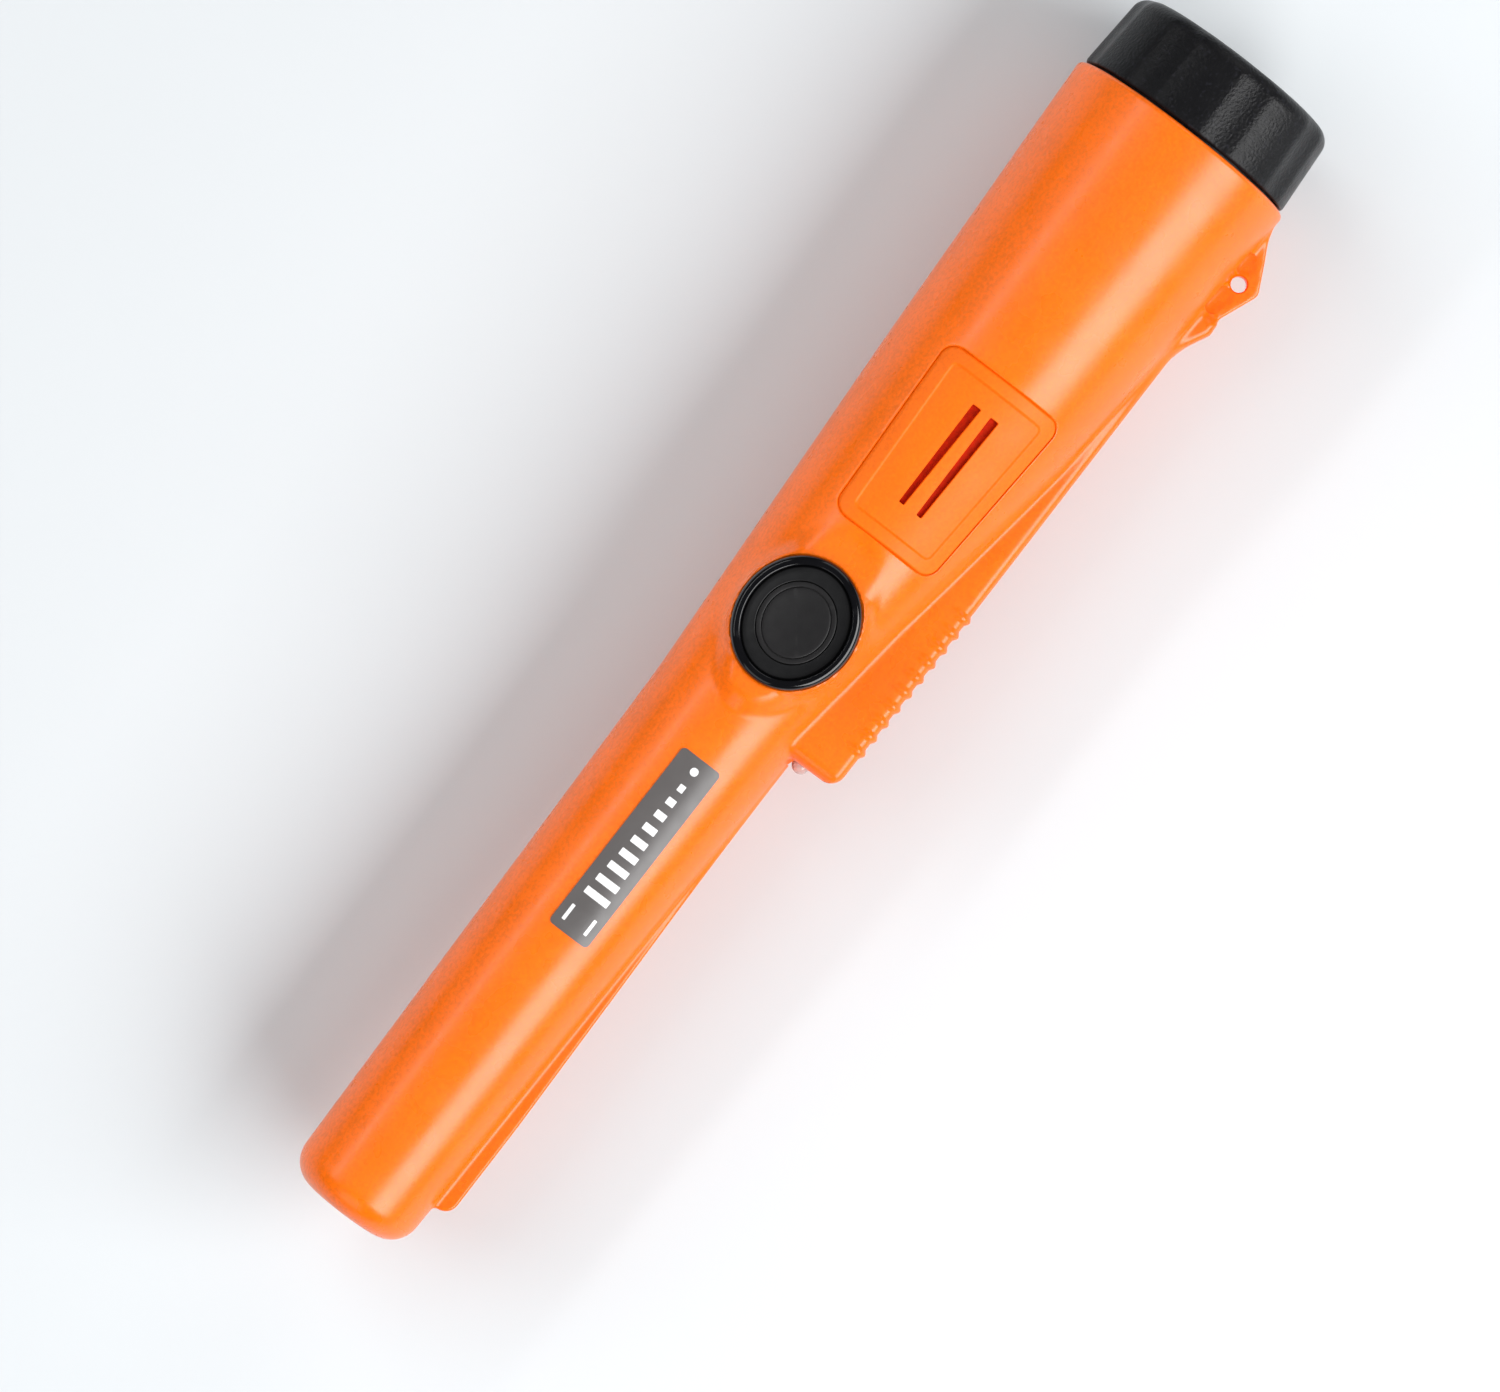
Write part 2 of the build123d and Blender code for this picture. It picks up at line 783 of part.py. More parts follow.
with BuildPart() as cap_pad:
    with BuildSketch(across(cap_wall)):
        Circle(pad_r)
    extrude(amount=pad_thickness)
    fillet(cap_pad.faces().sort_by(Axis.X)[-1].edges(), radius=0.8)
cap_pad.part.label = "cap_pad"
export_step(cap_pad.part, "parts/cap_pad.step")

# ---- Battery -------------------------------------------------------------------------------------
battery_end = battery_x + battery_body

with BuildPart() as battery_case:
    with BuildSketch(across(battery_x)):
        RectangleRounded(battery_width, battery_height, battery_corner_r)
        RectangleRounded(
            battery_width - 2 * can_wall,
            battery_height - 2 * can_wall,
            battery_corner_r - can_wall,
            mode=Mode.SUBTRACT,
        )
    extrude(amount=battery_body)
battery_case.part.label = "battery_case"
export_step(battery_case.part, "parts/battery_case.step")

for node, start in (("battery_base_plate", battery_x), ("battery_end_plate", battery_end - plate)):
    with BuildPart() as end_plate:
        with BuildSketch(across(start)):
            RectangleRounded(
                battery_width - 2 * plate_gap,
                battery_height - 2 * plate_gap,
                battery_corner_r - plate_gap,
            )
        extrude(amount=plate)
    end_plate.part.label = node
    export_step(end_plate.part, f"parts/{node}.step")

with BuildPart() as battery_cells:
    with BuildSketch(across(battery_x + plate + cell_end_gap)):
        with GridLocations(2 * cell_r + cell_gap, 2 * cell_r + cell_gap, 3, 2):
            Circle(cell_r)
    extrude(amount=battery_body - 2 * plate - 2 * cell_end_gap)
battery_cells.part.label = "battery_cells"
export_step(battery_cells.part, "parts/battery_cells.step")

with BuildPart() as positive_stud:
    with BuildSketch(across(battery_end, -stud_spacing / 2)):
        Circle(positive_stud_r)
    extrude(amount=stud_reach)
    fillet(positive_stud.faces().sort_by(Axis.X)[-1].edges(), radius=0.4)
positive_stud.part.label = "positive_stud"
export_step(positive_stud.part, "parts/positive_stud.step")

with BuildPart() as negative_stud:
    with BuildSketch(across(battery_end, stud_spacing / 2)):
        RegularPolygon(negative_stud_r, 6)
        Circle(negative_bore_r, mode=Mode.SUBTRACT)
    extrude(amount=stud_reach)
negative_stud.part.label = "negative_stud"
export_step(negative_stud.part, "parts/negative_stud.step")

# ---- Battery contacts and bulkhead ---------------------------------------------------------------
stud_end = battery_end + stud_reach

with BuildPart() as contact_board:
    with BuildSketch(across(contact_x)):
        Circle(bulkhead_r)
        with Locations(*screw_rows):
            Circle(screw_hole_r, mode=Mode.SUBTRACT)
    extrude(amount=bulkhead_x - contact_x)
contact_board.part.label = "contact_board"
export_step(contact_board.part, "parts/contact_board.step")

for node, side in (("positive_contact", -1), ("negative_contact", 1)):
    with BuildPart() as contact:
        with BuildSketch(across(stud_end + contact_gap, side * stud_spacing / 2)):
            SlotOverall(contact_length, contact_width, rotation=90)
        extrude(amount=contact_x - stud_end - contact_gap)
    contact.part.label = node
    export_step(contact.part, f"parts/{node}.step")

with BuildPart() as bulkhead:
    with BuildSketch(across(bulkhead_x)):
        Circle(bulkhead_r)
    extrude(amount=bulkhead_end_x - bulkhead_x)
    with BuildSketch(across(gland_x)):
        Circle(bulkhead_r + 1)
        Circle(gland_r, mode=Mode.SUBTRACT)
    extrude(amount=gland_width, mode=Mode.SUBTRACT)
    with BuildSketch(across(bulkhead_x)):
        with Locations(*screw_rows):
            Circle(screw_hole_r)
        with Locations(*bulkhead_lead_places):
            Circle(bulkhead_lead_r)
    extrude(amount=bulkhead_end_x - bulkhead_x, mode=Mode.SUBTRACT)
bulkhead.part.label = "bulkhead"
export_step(bulkhead.part, "parts/bulkhead.step")

with BuildPart() as bulkhead_seal:
    with BuildSketch(Plane.XY):
        with Locations((gland_x + gland_width / 2, gland_seal_r)):
            Circle(o_ring_section_r)
    revolve(axis=Axis.X)
bulkhead_seal.part.label = "bulkhead_seal"
export_step(bulkhead_seal.part, "parts/bulkhead_seal.step")

with BuildPart() as bulkhead_screws:
    with BuildSketch(across(contact_x - screw_head)):
        with Locations(*screw_rows):
            Circle(screw_head_r)
    extrude(amount=screw_head)
    fillet(bulkhead_screws.faces().group_by(Axis.X)[0].edges(), radius=0.4)
    with BuildSketch(across(contact_x)):
        with Locations(*screw_rows):
            Circle(screw_r)
    extrude(amount=screw_length)
bulkhead_screws.part.label = "bulkhead_screws"
export_step(bulkhead_screws.part, "parts/bulkhead_screws.step")

# ---- Chassis and circuit board -------------------------------------------------------------------
chassis_low = chassis_top - chassis_thickness
block_x = bulkhead_end_x + screw_block_gap + screw_block[0] / 2

with BuildPart() as chassis:
    with BuildSketch(Plane.XY.offset(chassis_low)):
        with Locations(((bulkhead_end_x + board_end_x) / 2, board_y)):
            RectangleRounded(
                board_end_x - bulkhead_end_x - 2 * chassis_gap,
                2 * (board_half - 2 * chassis_gap),
                1.0,
            )
    extrude(amount=chassis_thickness)
    # Blocks that take the bulkhead's screws, and the bar that carries them
    for row_y, row_z in screw_rows:
        with Locations((block_x, row_y, row_z + screw_block_lift)):
            Box(*screw_block)
    with Locations((block_x, 0, chassis_top - chassis_thickness / 2)):
        Box(screw_block[0], 2 * screw_rows[0][0], chassis_thickness)
    with BuildSketch(Plane.XY.offset(chassis_top)):
        with Locations(*board_screw_places):
            Circle(pillar_r)
    extrude(amount=-chassis_top)
    with BuildSketch(Plane.XY.offset(chassis_low)):
        with Locations(*board_screw_places):
            Circle(board_screw_bore_r)
    extrude(amount=-chassis_low, mode=Mode.SUBTRACT)
    with BuildSketch(across(bulkhead_end_x - 1)):
        with Locations(*screw_rows):
            Circle(screw_bore_r)
    extrude(amount=screw_bore, mode=Mode.SUBTRACT)
chassis.part.label = "chassis"
export_step(chassis.part, "parts/chassis.step")

with BuildPart() as main_board:
    with BuildSketch(Plane.XY):
        with Locations(((board_x + board_end_x) / 2, board_y)):
            RectangleRounded(board_end_x - board_x, 2 * board_half, 1.2)
        with Locations(*board_screw_places):
            Circle(board_hole_r, mode=Mode.SUBTRACT)
    extrude(amount=board_thickness)
main_board.part.label = "main_board"
export_step(main_board.part, "parts/main_board.step")

with BuildPart() as board_screws:
    with BuildSketch(Plane.XY.offset(board_thickness)):
        with Locations(*board_screw_places):
            Circle(board_screw_head_r)
    extrude(amount=board_screw_head)
    fillet(board_screws.faces().group_by(Axis.Z)[-1].edges(), radius=0.4)
    with BuildSketch(Plane.XY.offset(chassis_low)):
        with Locations(*board_screw_places):
            Circle(board_screw_r)
    extrude(amount=board_thickness - chassis_low)
board_screws.part.label = "board_screws"
export_step(board_screws.part, "parts/board_screws.step")

controller_x, controller_y = controller_at
pin_y = controller_side / 2 + pin_size[1] / 3
pin_z = board_thickness + 0.1 + pin_size[2] / 2

with BuildPart() as controller_chip:
    with Locations((controller_x, controller_y, board_thickness + 0.1 + controller_height / 2)):
        Box(controller_side, controller_side, controller_height)
    chamfer(controller_chip.edges().group_by(Axis.Z)[-1], length=0.25)
    # Gull-wing pins along two sides
    for side in (-1, 1):
        with Locations((controller_x, controller_y + side * pin_y, pin_z)):
            with GridLocations(pin_pitch, pin_pitch, pins_per_side, 1):
                Box(*pin_size)
controller_chip.part.label = "controller_chip"
export_step(controller_chip.part, "parts/controller_chip.step")

with BuildPart() as small_chips:
    for x, y in small_chip_places:
        with Locations((x, y, board_thickness + small_chip_size[2] / 2)):
            Box(*small_chip_size)
small_chips.part.label = "small_chips"
export_step(small_chips.part, "parts/small_chips.step")

with BuildPart() as chip_passives:
    for x, y in passive_places:
        with Locations((x, y, board_thickness + passive_size[2] / 2)):
            Box(*passive_size)
chip_passives.part.label = "chip_passives"
export_step(chip_passives.part, "parts/chip_passives.step")

with BuildPart() as capacitors:
    with BuildSketch(Plane.XY.offset(board_thickness + capacitor_foot_height)):
        with Locations(*capacitor_places):
            Circle(capacitor_r)
    extrude(amount=capacitor_height)
    fillet(capacitors.faces().group_by(Axis.Z)[-1].edges(), radius=0.5)
    with BuildSketch(Plane.XY.offset(board_thickness)):
        with Locations(*capacitor_places):
            RectangleRounded(*capacitor_foot)
    extrude(amount=capacitor_foot_height)
capacitors.part.label = "capacitors"
export_step(capacitors.part, "parts/capacitors.step")

with BuildPart() as crystal_can:
    with BuildSketch(Plane.XY.offset(board_thickness)):
        with Locations(crystal_at):
            SlotOverall(*crystal_size)
    extrude(amount=crystal_height)
    fillet(crystal_can.faces().sort_by(Axis.Z)[-1].edges(), radius=0.4)
crystal_can.part.label = "crystal_can"
export_step(crystal_can.part, "parts/crystal_can.step")

# ---- Sounder -------------------------------------------------------------------------------------
with BuildPart() as sounder_case:
    with BuildSketch(rolled(panel_x, panel_y, sounder_low)):
        Circle(sounder_r)
    extrude(amount=sounder_height)
    with BuildSketch(rolled(panel_x, panel_y, sounder_chamber[0])):
        Circle(sounder_bore_r)
    extrude(amount=sounder_chamber[1], mode=Mode.SUBTRACT)
    with BuildSketch(rolled(panel_x, panel_y, sounder_low + sounder_height)):
        Circle(sound_port_r)
    extrude(amount=-sounder_height / 3, mode=Mode.SUBTRACT)
sounder_case.part.label = "sounder_case"
export_step(sounder_case.part, "parts/sounder_case.step")

with BuildPart() as piezo_disc:
    with BuildSketch(rolled(panel_x, panel_y, disc_low)):
        Circle(disc_r)
    extrude(amount=disc_thickness)
    with BuildSketch(rolled(panel_x, panel_y, disc_low + disc_thickness)):
        Circle(ceramic_r)
    extrude(amount=ceramic_thickness)
piezo_disc.part.label = "piezo_disc"
export_step(piezo_disc.part, "parts/piezo_disc.step")

with BuildPart() as sounder_foam:
    with BuildSketch(rolled(panel_x, panel_y, foam_low)):
        Circle(foam_r)
        Circle(foam_bore_r, mode=Mode.SUBTRACT)
    extrude(amount=foam_thickness)
sounder_foam.part.label = "sounder_foam"
export_step(sounder_foam.part, "parts/sounder_foam.step")

# ---- Vibration motor -----------------------------------------------------------------------------
motor_end = motor_x + motor_length

with BuildPart() as motor_can:
    with BuildSketch(across(motor_x, motor_y, motor_z)):
        Circle(motor_r)
    extrude(amount=motor_length)
    with BuildSketch(across(motor_x + motor_wall, motor_y, motor_z)):
        Circle(motor_bore_r)
    extrude(amount=motor_length - motor_wall - motor_nose, mode=Mode.SUBTRACT)
    with BuildSketch(across(motor_x + motor_length / 2, motor_y, motor_z)):
        Circle(motor_nose_bore_r)
    extrude(amount=motor_length / 2, mode=Mode.SUBTRACT)
motor_can.part.label = "motor_can"
export_step(motor_can.part, "parts/motor_can.step")

with BuildPart() as motor_end_cap:
    with BuildSketch(across(motor_x - motor_cap, motor_y, motor_z)):
        Circle(motor_cap_r)
    extrude(amount=motor_cap)
motor_end_cap.part.label = "motor_end_cap"
export_step(motor_end_cap.part, "parts/motor_end_cap.step")

with BuildPart() as motor_shaft:
    with BuildSketch(across(motor_x + motor_shaft_start, motor_y, motor_z)):
        Circle(motor_shaft_r)
    extrude(amount=motor_shaft_length)
    # Armature inside the can
    with BuildSketch(across(motor_x + armature_start, motor_y, motor_z)):
        Circle(armature_r)
    extrude(amount=armature_length)
motor_shaft.part.label = "motor_shaft"
export_step(motor_shaft.part, "parts/motor_shaft.step")

with BuildPart() as motor_weight:
    with BuildSketch(across(motor_end + weight_gap, motor_y, motor_z)):
        with BuildLine():
            CenterArc((0, 0), weight_r, 180, 180)
            Line((-weight_r, 0), (weight_r, 0))
        make_face()
        Circle(weight_hub_r)
        Circle(weight_bore_r, mode=Mode.SUBTRACT)
    extrude(amount=weight_length)
motor_weight.part.label = "motor_weight"
export_step(motor_weight.part, "parts/motor_weight.step")

with BuildPart() as motor_cradle:
    cradle_height = chassis_low - motor_z + cradle_lip
    with BuildSketch(across(motor_x + cradle_start, motor_y, 0)):
        with Locations((0, chassis_low - cradle_height / 2)):
            Rectangle(cradle_side, cradle_height)
        with Locations((0, motor_z)):
            Circle(cradle_bore_r, mode=Mode.SUBTRACT)
    extrude(amount=cradle_side)
motor_cradle.part.label = "motor_cradle"
export_step(motor_cradle.part, "parts/motor_cradle.step")

# ---- Search coil in the tip ----------------------------------------------------------------------
with BuildPart() as ferrite_rod:
    with BuildSketch(across(coil_x - rod_overhang, shaft_y)):
        Circle(rod_r)
    extrude(amount=coil_end_x - coil_x + 2 * rod_overhang)
    chamfer(ferrite_rod.edges(), length=0.4)
ferrite_rod.part.label = "ferrite_rod"
export_step(ferrite_rod.part, "parts/ferrite_rod.step")

with BuildPart() as coil_former:
    with BuildSketch(across(coil_x, shaft_y)):
        Circle(former_r)
    extrude(amount=coil_end_x - coil_x)
    for start in (coil_x, coil_end_x - flange_width):
        with BuildSketch(across(start, shaft_y)):
            Circle(flange_r)
        extrude(amount=flange_width)
    with BuildSketch(across(coil_x, shaft_y)):
        Circle(rod_r + rod_gap)
    extrude(amount=coil_end_x - coil_x, mode=Mode.SUBTRACT)
coil_former.part.label = "coil_former"
export_step(coil_former.part, "parts/coil_former.step")

with BuildPart() as search_coil:
    with BuildSketch(across(coil_x + flange_width + 0.1, shaft_y)):
        Circle(winding_r)
        Circle(former_r + winding_gap, mode=Mode.SUBTRACT)
    extrude(amount=coil_end_x - coil_x - 2 * (flange_width + 0.1))
search_coil.part.label = "search_coil"
export_step(search_coil.part, "parts/search_coil.step")

spacers = {"rear_spacer": rear_spacer, "front_spacer": front_spacer}
for node, (start, length, outer_r) in spacers.items():
    with BuildPart() as spacer:
        with BuildSketch(across(start, shaft_y)):
            Circle(outer_r)
            if node == "rear_spacer":
                Circle(rear_spacer_bore_r, mode=Mode.SUBTRACT)
        extrude(amount=length)
    spacer.part.label = node
    export_step(spacer.part, f"parts/{node}.step")

# ---- Leads ---------------------------------------------------------------------------------------
battery_lead_x = 57.7
routes = {
    "battery_lead_red": [
        (battery_lead_x, -3.5, lead_rise_z),
        (66.0, -3.5, lead_rise_z),
        (66.0, -3.5, board_thickness),
    ],
    "battery_lead_black": [
        (battery_lead_x, 3.5, lead_rise_z),
        (64.2, 3.5, lead_rise_z),
        (64.2, 3.5, board_thickness),
    ],
    "motor_leads": [
        (motor_x - motor_cap - 0.05, -1.0, -9.2),
        (79.0, -1.0, -9.2),
        (79.0, -12.0, -6.0),
        (79.0, -12.0, 3.4),
        (79.0, -8.0, 3.4),
        (79.0, -8.0, board_thickness),
    ],
    "sounder_leads": [
        (88.2, -2.0, sounder_low),
        (88.2, -2.0, 5.6),
        (90.6, 0.6, 4.4),
        (90.6, 0.6, board_thickness),
    ],
    "coil_leads": [
        (coil_x - 0.1, shaft_y, -5.8),
        (160.0, shaft_y, -5.8),
        (154.6, shaft_y, -1.0),
        (153.0, shaft_y, 3.6),
        (146.0, -4.5, 3.6),
        (146.0, -4.5, board_thickness),
    ],
}
for node, points in routes.items():
    with BuildPart() as lead:
        with BuildLine() as route:
            FilletPolyline(*points, radius=lead_bend_r)
        with BuildSketch(Plane(origin=route.line @ 0, z_dir=route.line % 0)):
            Circle(lead_r)
        sweep(path=route.line)
    lead.part.label = node
    export_step(lead.part, f"parts/{node}.step")
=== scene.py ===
import bpy
import json
import numpy as np
from math import acos, atan2, ceil, cos, pi, radians, sin, sqrt, tan
from mathutils import Matrix, Vector


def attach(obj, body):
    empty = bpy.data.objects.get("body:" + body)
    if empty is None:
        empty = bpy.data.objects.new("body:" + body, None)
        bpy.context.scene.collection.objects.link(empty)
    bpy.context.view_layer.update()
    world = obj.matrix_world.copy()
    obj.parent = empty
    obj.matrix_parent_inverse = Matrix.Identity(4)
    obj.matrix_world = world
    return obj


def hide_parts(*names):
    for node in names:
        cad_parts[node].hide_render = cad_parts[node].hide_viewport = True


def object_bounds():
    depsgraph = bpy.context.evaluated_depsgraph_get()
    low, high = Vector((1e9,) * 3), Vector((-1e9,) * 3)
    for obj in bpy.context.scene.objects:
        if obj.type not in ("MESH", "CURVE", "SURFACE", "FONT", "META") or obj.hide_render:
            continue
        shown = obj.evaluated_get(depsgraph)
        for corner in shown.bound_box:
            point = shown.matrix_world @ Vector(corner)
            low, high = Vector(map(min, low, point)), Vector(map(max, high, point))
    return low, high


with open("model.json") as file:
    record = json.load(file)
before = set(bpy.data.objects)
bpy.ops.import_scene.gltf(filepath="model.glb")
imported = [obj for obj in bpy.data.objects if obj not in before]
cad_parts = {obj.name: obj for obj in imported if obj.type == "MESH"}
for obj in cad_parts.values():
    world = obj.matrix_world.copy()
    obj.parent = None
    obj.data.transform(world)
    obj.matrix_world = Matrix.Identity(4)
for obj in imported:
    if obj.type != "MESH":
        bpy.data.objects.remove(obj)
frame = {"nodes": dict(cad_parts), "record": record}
cad_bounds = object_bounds()
scene = bpy.context.scene
MM = 0.001

# ---------------------------------------------------------------- dimensions, all in millimetres
# barrel: stations along X with their radii, the tip shaft's sideways offset, and the rounded ends
TOTAL = 235.0
RIM_X, FLARE_X, SHAFT_X = 14.8, 69.0, 133.8
RIM_R, FLARE_R, SHAFT_R, TIP_R = 20.75, 18.35, 13.15, 11.2
SHAFT_Y = -1.6
TIP_EDGE, RIM_EDGE, STATION_BLEND = 5.0, 0.9, 0.12
# keel with its finger ribs: half width and outer edge are (stations along X, values)
KEEL_START, KEEL_FRONT, KEEL_HALF = 38.0, 132.6, 7.15
KEEL_WIDTHS = ([40.0, 106.0], [2.2, KEEL_HALF])
KEEL_EDGE_Y = ([40.0, 96.0, 128.0], [20.36, 20.3, 19.88])
KEEL_ROUND, KEEL_FRONT_ROUND = 1.7, 2.7
RIBS = [98.0 + 3.03 * k for k in range(10)]
RIB_REACH, RIB_HEIGHT = 1.04, 0.529
# scraping blade along the tip shaft
BLADE_START, BLADE_END, BLADE_HALF = 133.0, 225.4, 1.9
BLADE_EDGE_Y = ([133.8, 182.0, 207.0, BLADE_END], [11.3, 12.26, 12.75, 12.75])
# lanyard lug: half thickness of its web and of its thicker horn, and its hole
WEB_HALF, HORN_HALF = 2.0, 3.2
LUG_HOLE_X, LUG_HOLE_Y, LUG_HOLE_R = 27.9, 21.75, 1.35
POCKET_DEPTH = 0.16
# power button, the level patch and the ring's seat around it (half axes), and the patch's height
BUTTON = (115.1, -1.45)
BOSS = (114.4, -1.45)
PATCH_AXES, SEAT_AXES = (17.5, 9.2), (11.75, 10.6)
BOSS_TOP = 15.0
# sounder panel, rolled a little about X together with the label
PANEL_X, PANEL_Y, ROLL = 80.5, -0.3, radians(8.0)
PANEL_LENGTH, PANEL_TIP, PANEL_CAP = 32.4, 19.6, 22.6
PANEL_CORNER, PANEL_INNER_CORNER = 2.4, 1.3
PANEL_SLOPE = (PANEL_CAP - PANEL_TIP) / 2 / PANEL_LENGTH
# label on the tip shaft, and the heights between which its marks lie
LABEL_X, LABEL_LENGTH, LABEL_WIDTH = 159.4, 35.4, 7.7
MARK_LOW, MARK_HIGH = 0.17, 0.197
# LED
LED_Y, LED_R, LED_DOME_X = 13.2, 1.5, 132.7
# battery cap: radius at its end face, taper, rounded edges, length of its flange, flutes and thread
CAP_R, CAP_TAPER, CAP_EDGE, CAP_BACK_EDGE, CAP_FLANGE = 19.1, 0.9 / 14.4, 2.8, 0.6, 14.4
FLUTES = [radians(14.0 + 45.0 * k) for k in range(8)]
FLUTE_R, FLUTE_DEPTH, FLUTE_BLEND = 14.0, 0.5, 0.34
THREAD_PITCH = 3.0


# ================================================================ mesh helpers
def build(name, points, faces, material=None, body=None, slot=None, stands_for=(), sharp=32.0):
    """A mesh object from points in millimetres."""
    mesh = bpy.data.meshes.new(name)
    mesh.from_pydata([tuple(p) for p in np.asarray(points, dtype=float) * MM], [], faces)
    mesh.validate()
    mesh.update()
    obj = bpy.data.objects.new(name, mesh)
    scene.collection.objects.link(obj)
    finish_shading(obj, sharp)
    if material is not None:
        mesh.materials.append(material)
    if body is not None:
        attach(obj, body)
    if stands_for:
        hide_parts(*stands_for)
    return obj


def finish_shading(obj, sharp):
    mesh = obj.data
    mesh.polygons.foreach_set("use_smooth", [True] * len(mesh.polygons))
    mesh.set_sharp_from_angle(angle=radians(sharp))
    mesh.update()


def outward(points, faces):
    """The faces turned so that the closed mesh's volume is positive."""
    p = np.asarray(points, dtype=float)
    corners = np.array([(f[0], f[i], f[i + 1]) for f in faces for i in range(1, len(f) - 1)])
    a, b, c = p[corners[:, 0]], p[corners[:, 1]], p[corners[:, 2]]
    volume = float(np.sum(a * np.cross(b, c)))
    return faces if volume > 0 else [tuple(reversed(f)) for f in faces]


def tube_faces(rows, columns, first=0):
    """Quads of a grid that closes on itself across its columns."""
    faces = []
    for i in range(rows - 1):
        a = first + i * columns
        b = a + columns
        for j in range(columns):
            k = (j + 1) % columns
            faces.append((a + j, a + k, b + k, b + j))
    return faces


def grid_quads(rows, columns, first=0):
    """Quads of an open grid."""
    return [(first + i * columns + j, first + (i + 1) * columns + j,
             first + (i + 1) * columns + j + 1, first + i * columns + j + 1)
            for i in range(rows - 1) for j in range(columns - 1)]


def grid_border(rows, columns):
    """The points around an open grid's edge, in order."""
    border = [(0, j) for j in range(columns)]
    border += [(i, columns - 1) for i in range(1, rows)]
    border += [(rows - 1, j) for j in range(columns - 2, -1, -1)]
    border += [(i, 0) for i in range(rows - 2, 0, -1)]
    return [i * columns + j for i, j in border]


def rings_solid(rings):
    """A closed mesh through rings of equally many points, with flat ends."""
    n = len(rings[0])
    points = np.concatenate([np.asarray(r, dtype=float) for r in rings])
    faces = tube_faces(len(rings), n)
    faces.append(tuple(range(n - 1, -1, -1)))
    faces.append(tuple(range((len(rings) - 1) * n, len(rings) * n)))
    return points, outward(points, faces)


def loop_solid(rings):
    """A closed ring-shaped mesh: the rings follow one another around its section."""
    n = len(rings[0])
    points = np.concatenate(rings)
    faces = tube_faces(len(rings), n)
    last = (len(rings) - 1) * n
    faces += [(last + j, last + (j + 1) % n, (j + 1) % n, j) for j in range(n)]
    return points, outward(points, faces)


def pointed_solid(start, rings, stop):
    """A closed mesh through rings, from one end point to another."""
    n = len(rings[0])
    points = np.concatenate([np.array([start])] + rings + [np.array([stop])])
    faces = tube_faces(len(rings), n, 1)
    end = len(points) - 1
    faces += [(0, 1 + (j + 1) % n, 1 + j) for j in range(n)]
    base = 1 + (len(rings) - 1) * n
    faces += [(end, base + j, base + (j + 1) % n) for j in range(n)]
    return points, outward(points, faces)


def join(parts):
    """Several (points, faces) pairs as one."""
    points, faces, first = [], [], 0
    for p, f in parts:
        points.append(np.asarray(p, dtype=float))
        faces += [tuple(i + first for i in face) for face in f]
        first += len(p)
    return np.concatenate(points), faces


def carve(obj, cutters, material, sharp):
    """Cuts closed meshes out of obj, keeps the result as plain mesh, and gives it its material."""
    for points, faces in cutters:
        tool = build("cutter", points, faces)
        modifier = obj.modifiers.new("carve", "BOOLEAN")
        modifier.operation = "DIFFERENCE"
        modifier.solver = "MANIFOLD"
        modifier.object = tool
        bpy.context.view_layer.update()
        result = bpy.data.meshes.new_from_object(
            obj.evaluated_get(bpy.context.evaluated_depsgraph_get()))
        obj.modifiers.clear()
        if len(result.polygons) < 4:
            raise RuntimeError(f"a cut emptied {obj.name}")
        spent = [obj.data, tool.data]
        obj.data = result
        bpy.data.objects.remove(tool)
        for mesh in spent:
            bpy.data.meshes.remove(mesh)
    obj.data.name = obj.name
    finish_shading(obj, sharp)
    obj.data.materials.clear()
    obj.data.materials.append(material)


def circle_ring(x, r, y=0.0, z=0.0, n=96):
    a = np.linspace(0, 2 * pi, n, endpoint=False)
    return np.stack([np.full(n, float(x)), y + r * np.cos(a), z + r * np.sin(a)], axis=1)


def lathe_x(profile, y=0.0, z=0.0, n=128):
    """A closed ring-shaped mesh: profile is a closed loop of (x, r) points turned about X."""
    return loop_solid([circle_ring(x, r, y, z, n) for x, r in profile])


def spindle_x(profile, y=0.0, z=0.0, n=96):
    """A closed solid of revolution about X; the first and last (x, r) points lie on the axis."""
    rings = [circle_ring(x, r, y, z, n) for x, r in profile[1:-1]]
    return pointed_solid([profile[0][0], y, z], rings, [profile[-1][0], y, z])


def ellipse_ring(a, b, z, n=160):
    """An ellipse around the button's centre line."""
    t = np.linspace(0, 2 * pi, n, endpoint=False)
    return np.stack([BUTTON[0] + a * np.cos(t), BUTTON[1] + b * np.sin(t), np.full(n, float(z))], axis=1)


def oval_ring_solid(loop):
    """A closed oval ring: loop is a closed list of (a, b, z)."""
    return loop_solid([ellipse_ring(a, b, z) for a, b, z in loop])


def oval_solid(stack):
    """A closed oval solid whose first and last entries (0, 0, z) lie on its centre line."""
    rings = [ellipse_ring(a, b, z) for a, b, z in stack[1:-1]]
    return pointed_solid([*BUTTON, stack[0][2]], rings, [*BUTTON, stack[-1][2]])


def arc(cx, cy, r, start, stop, steps):
    """Points on an arc, angles in degrees."""
    return [(cx + r * cos(radians(a)), cy + r * sin(radians(a))) for a in np.linspace(start, stop, steps)]


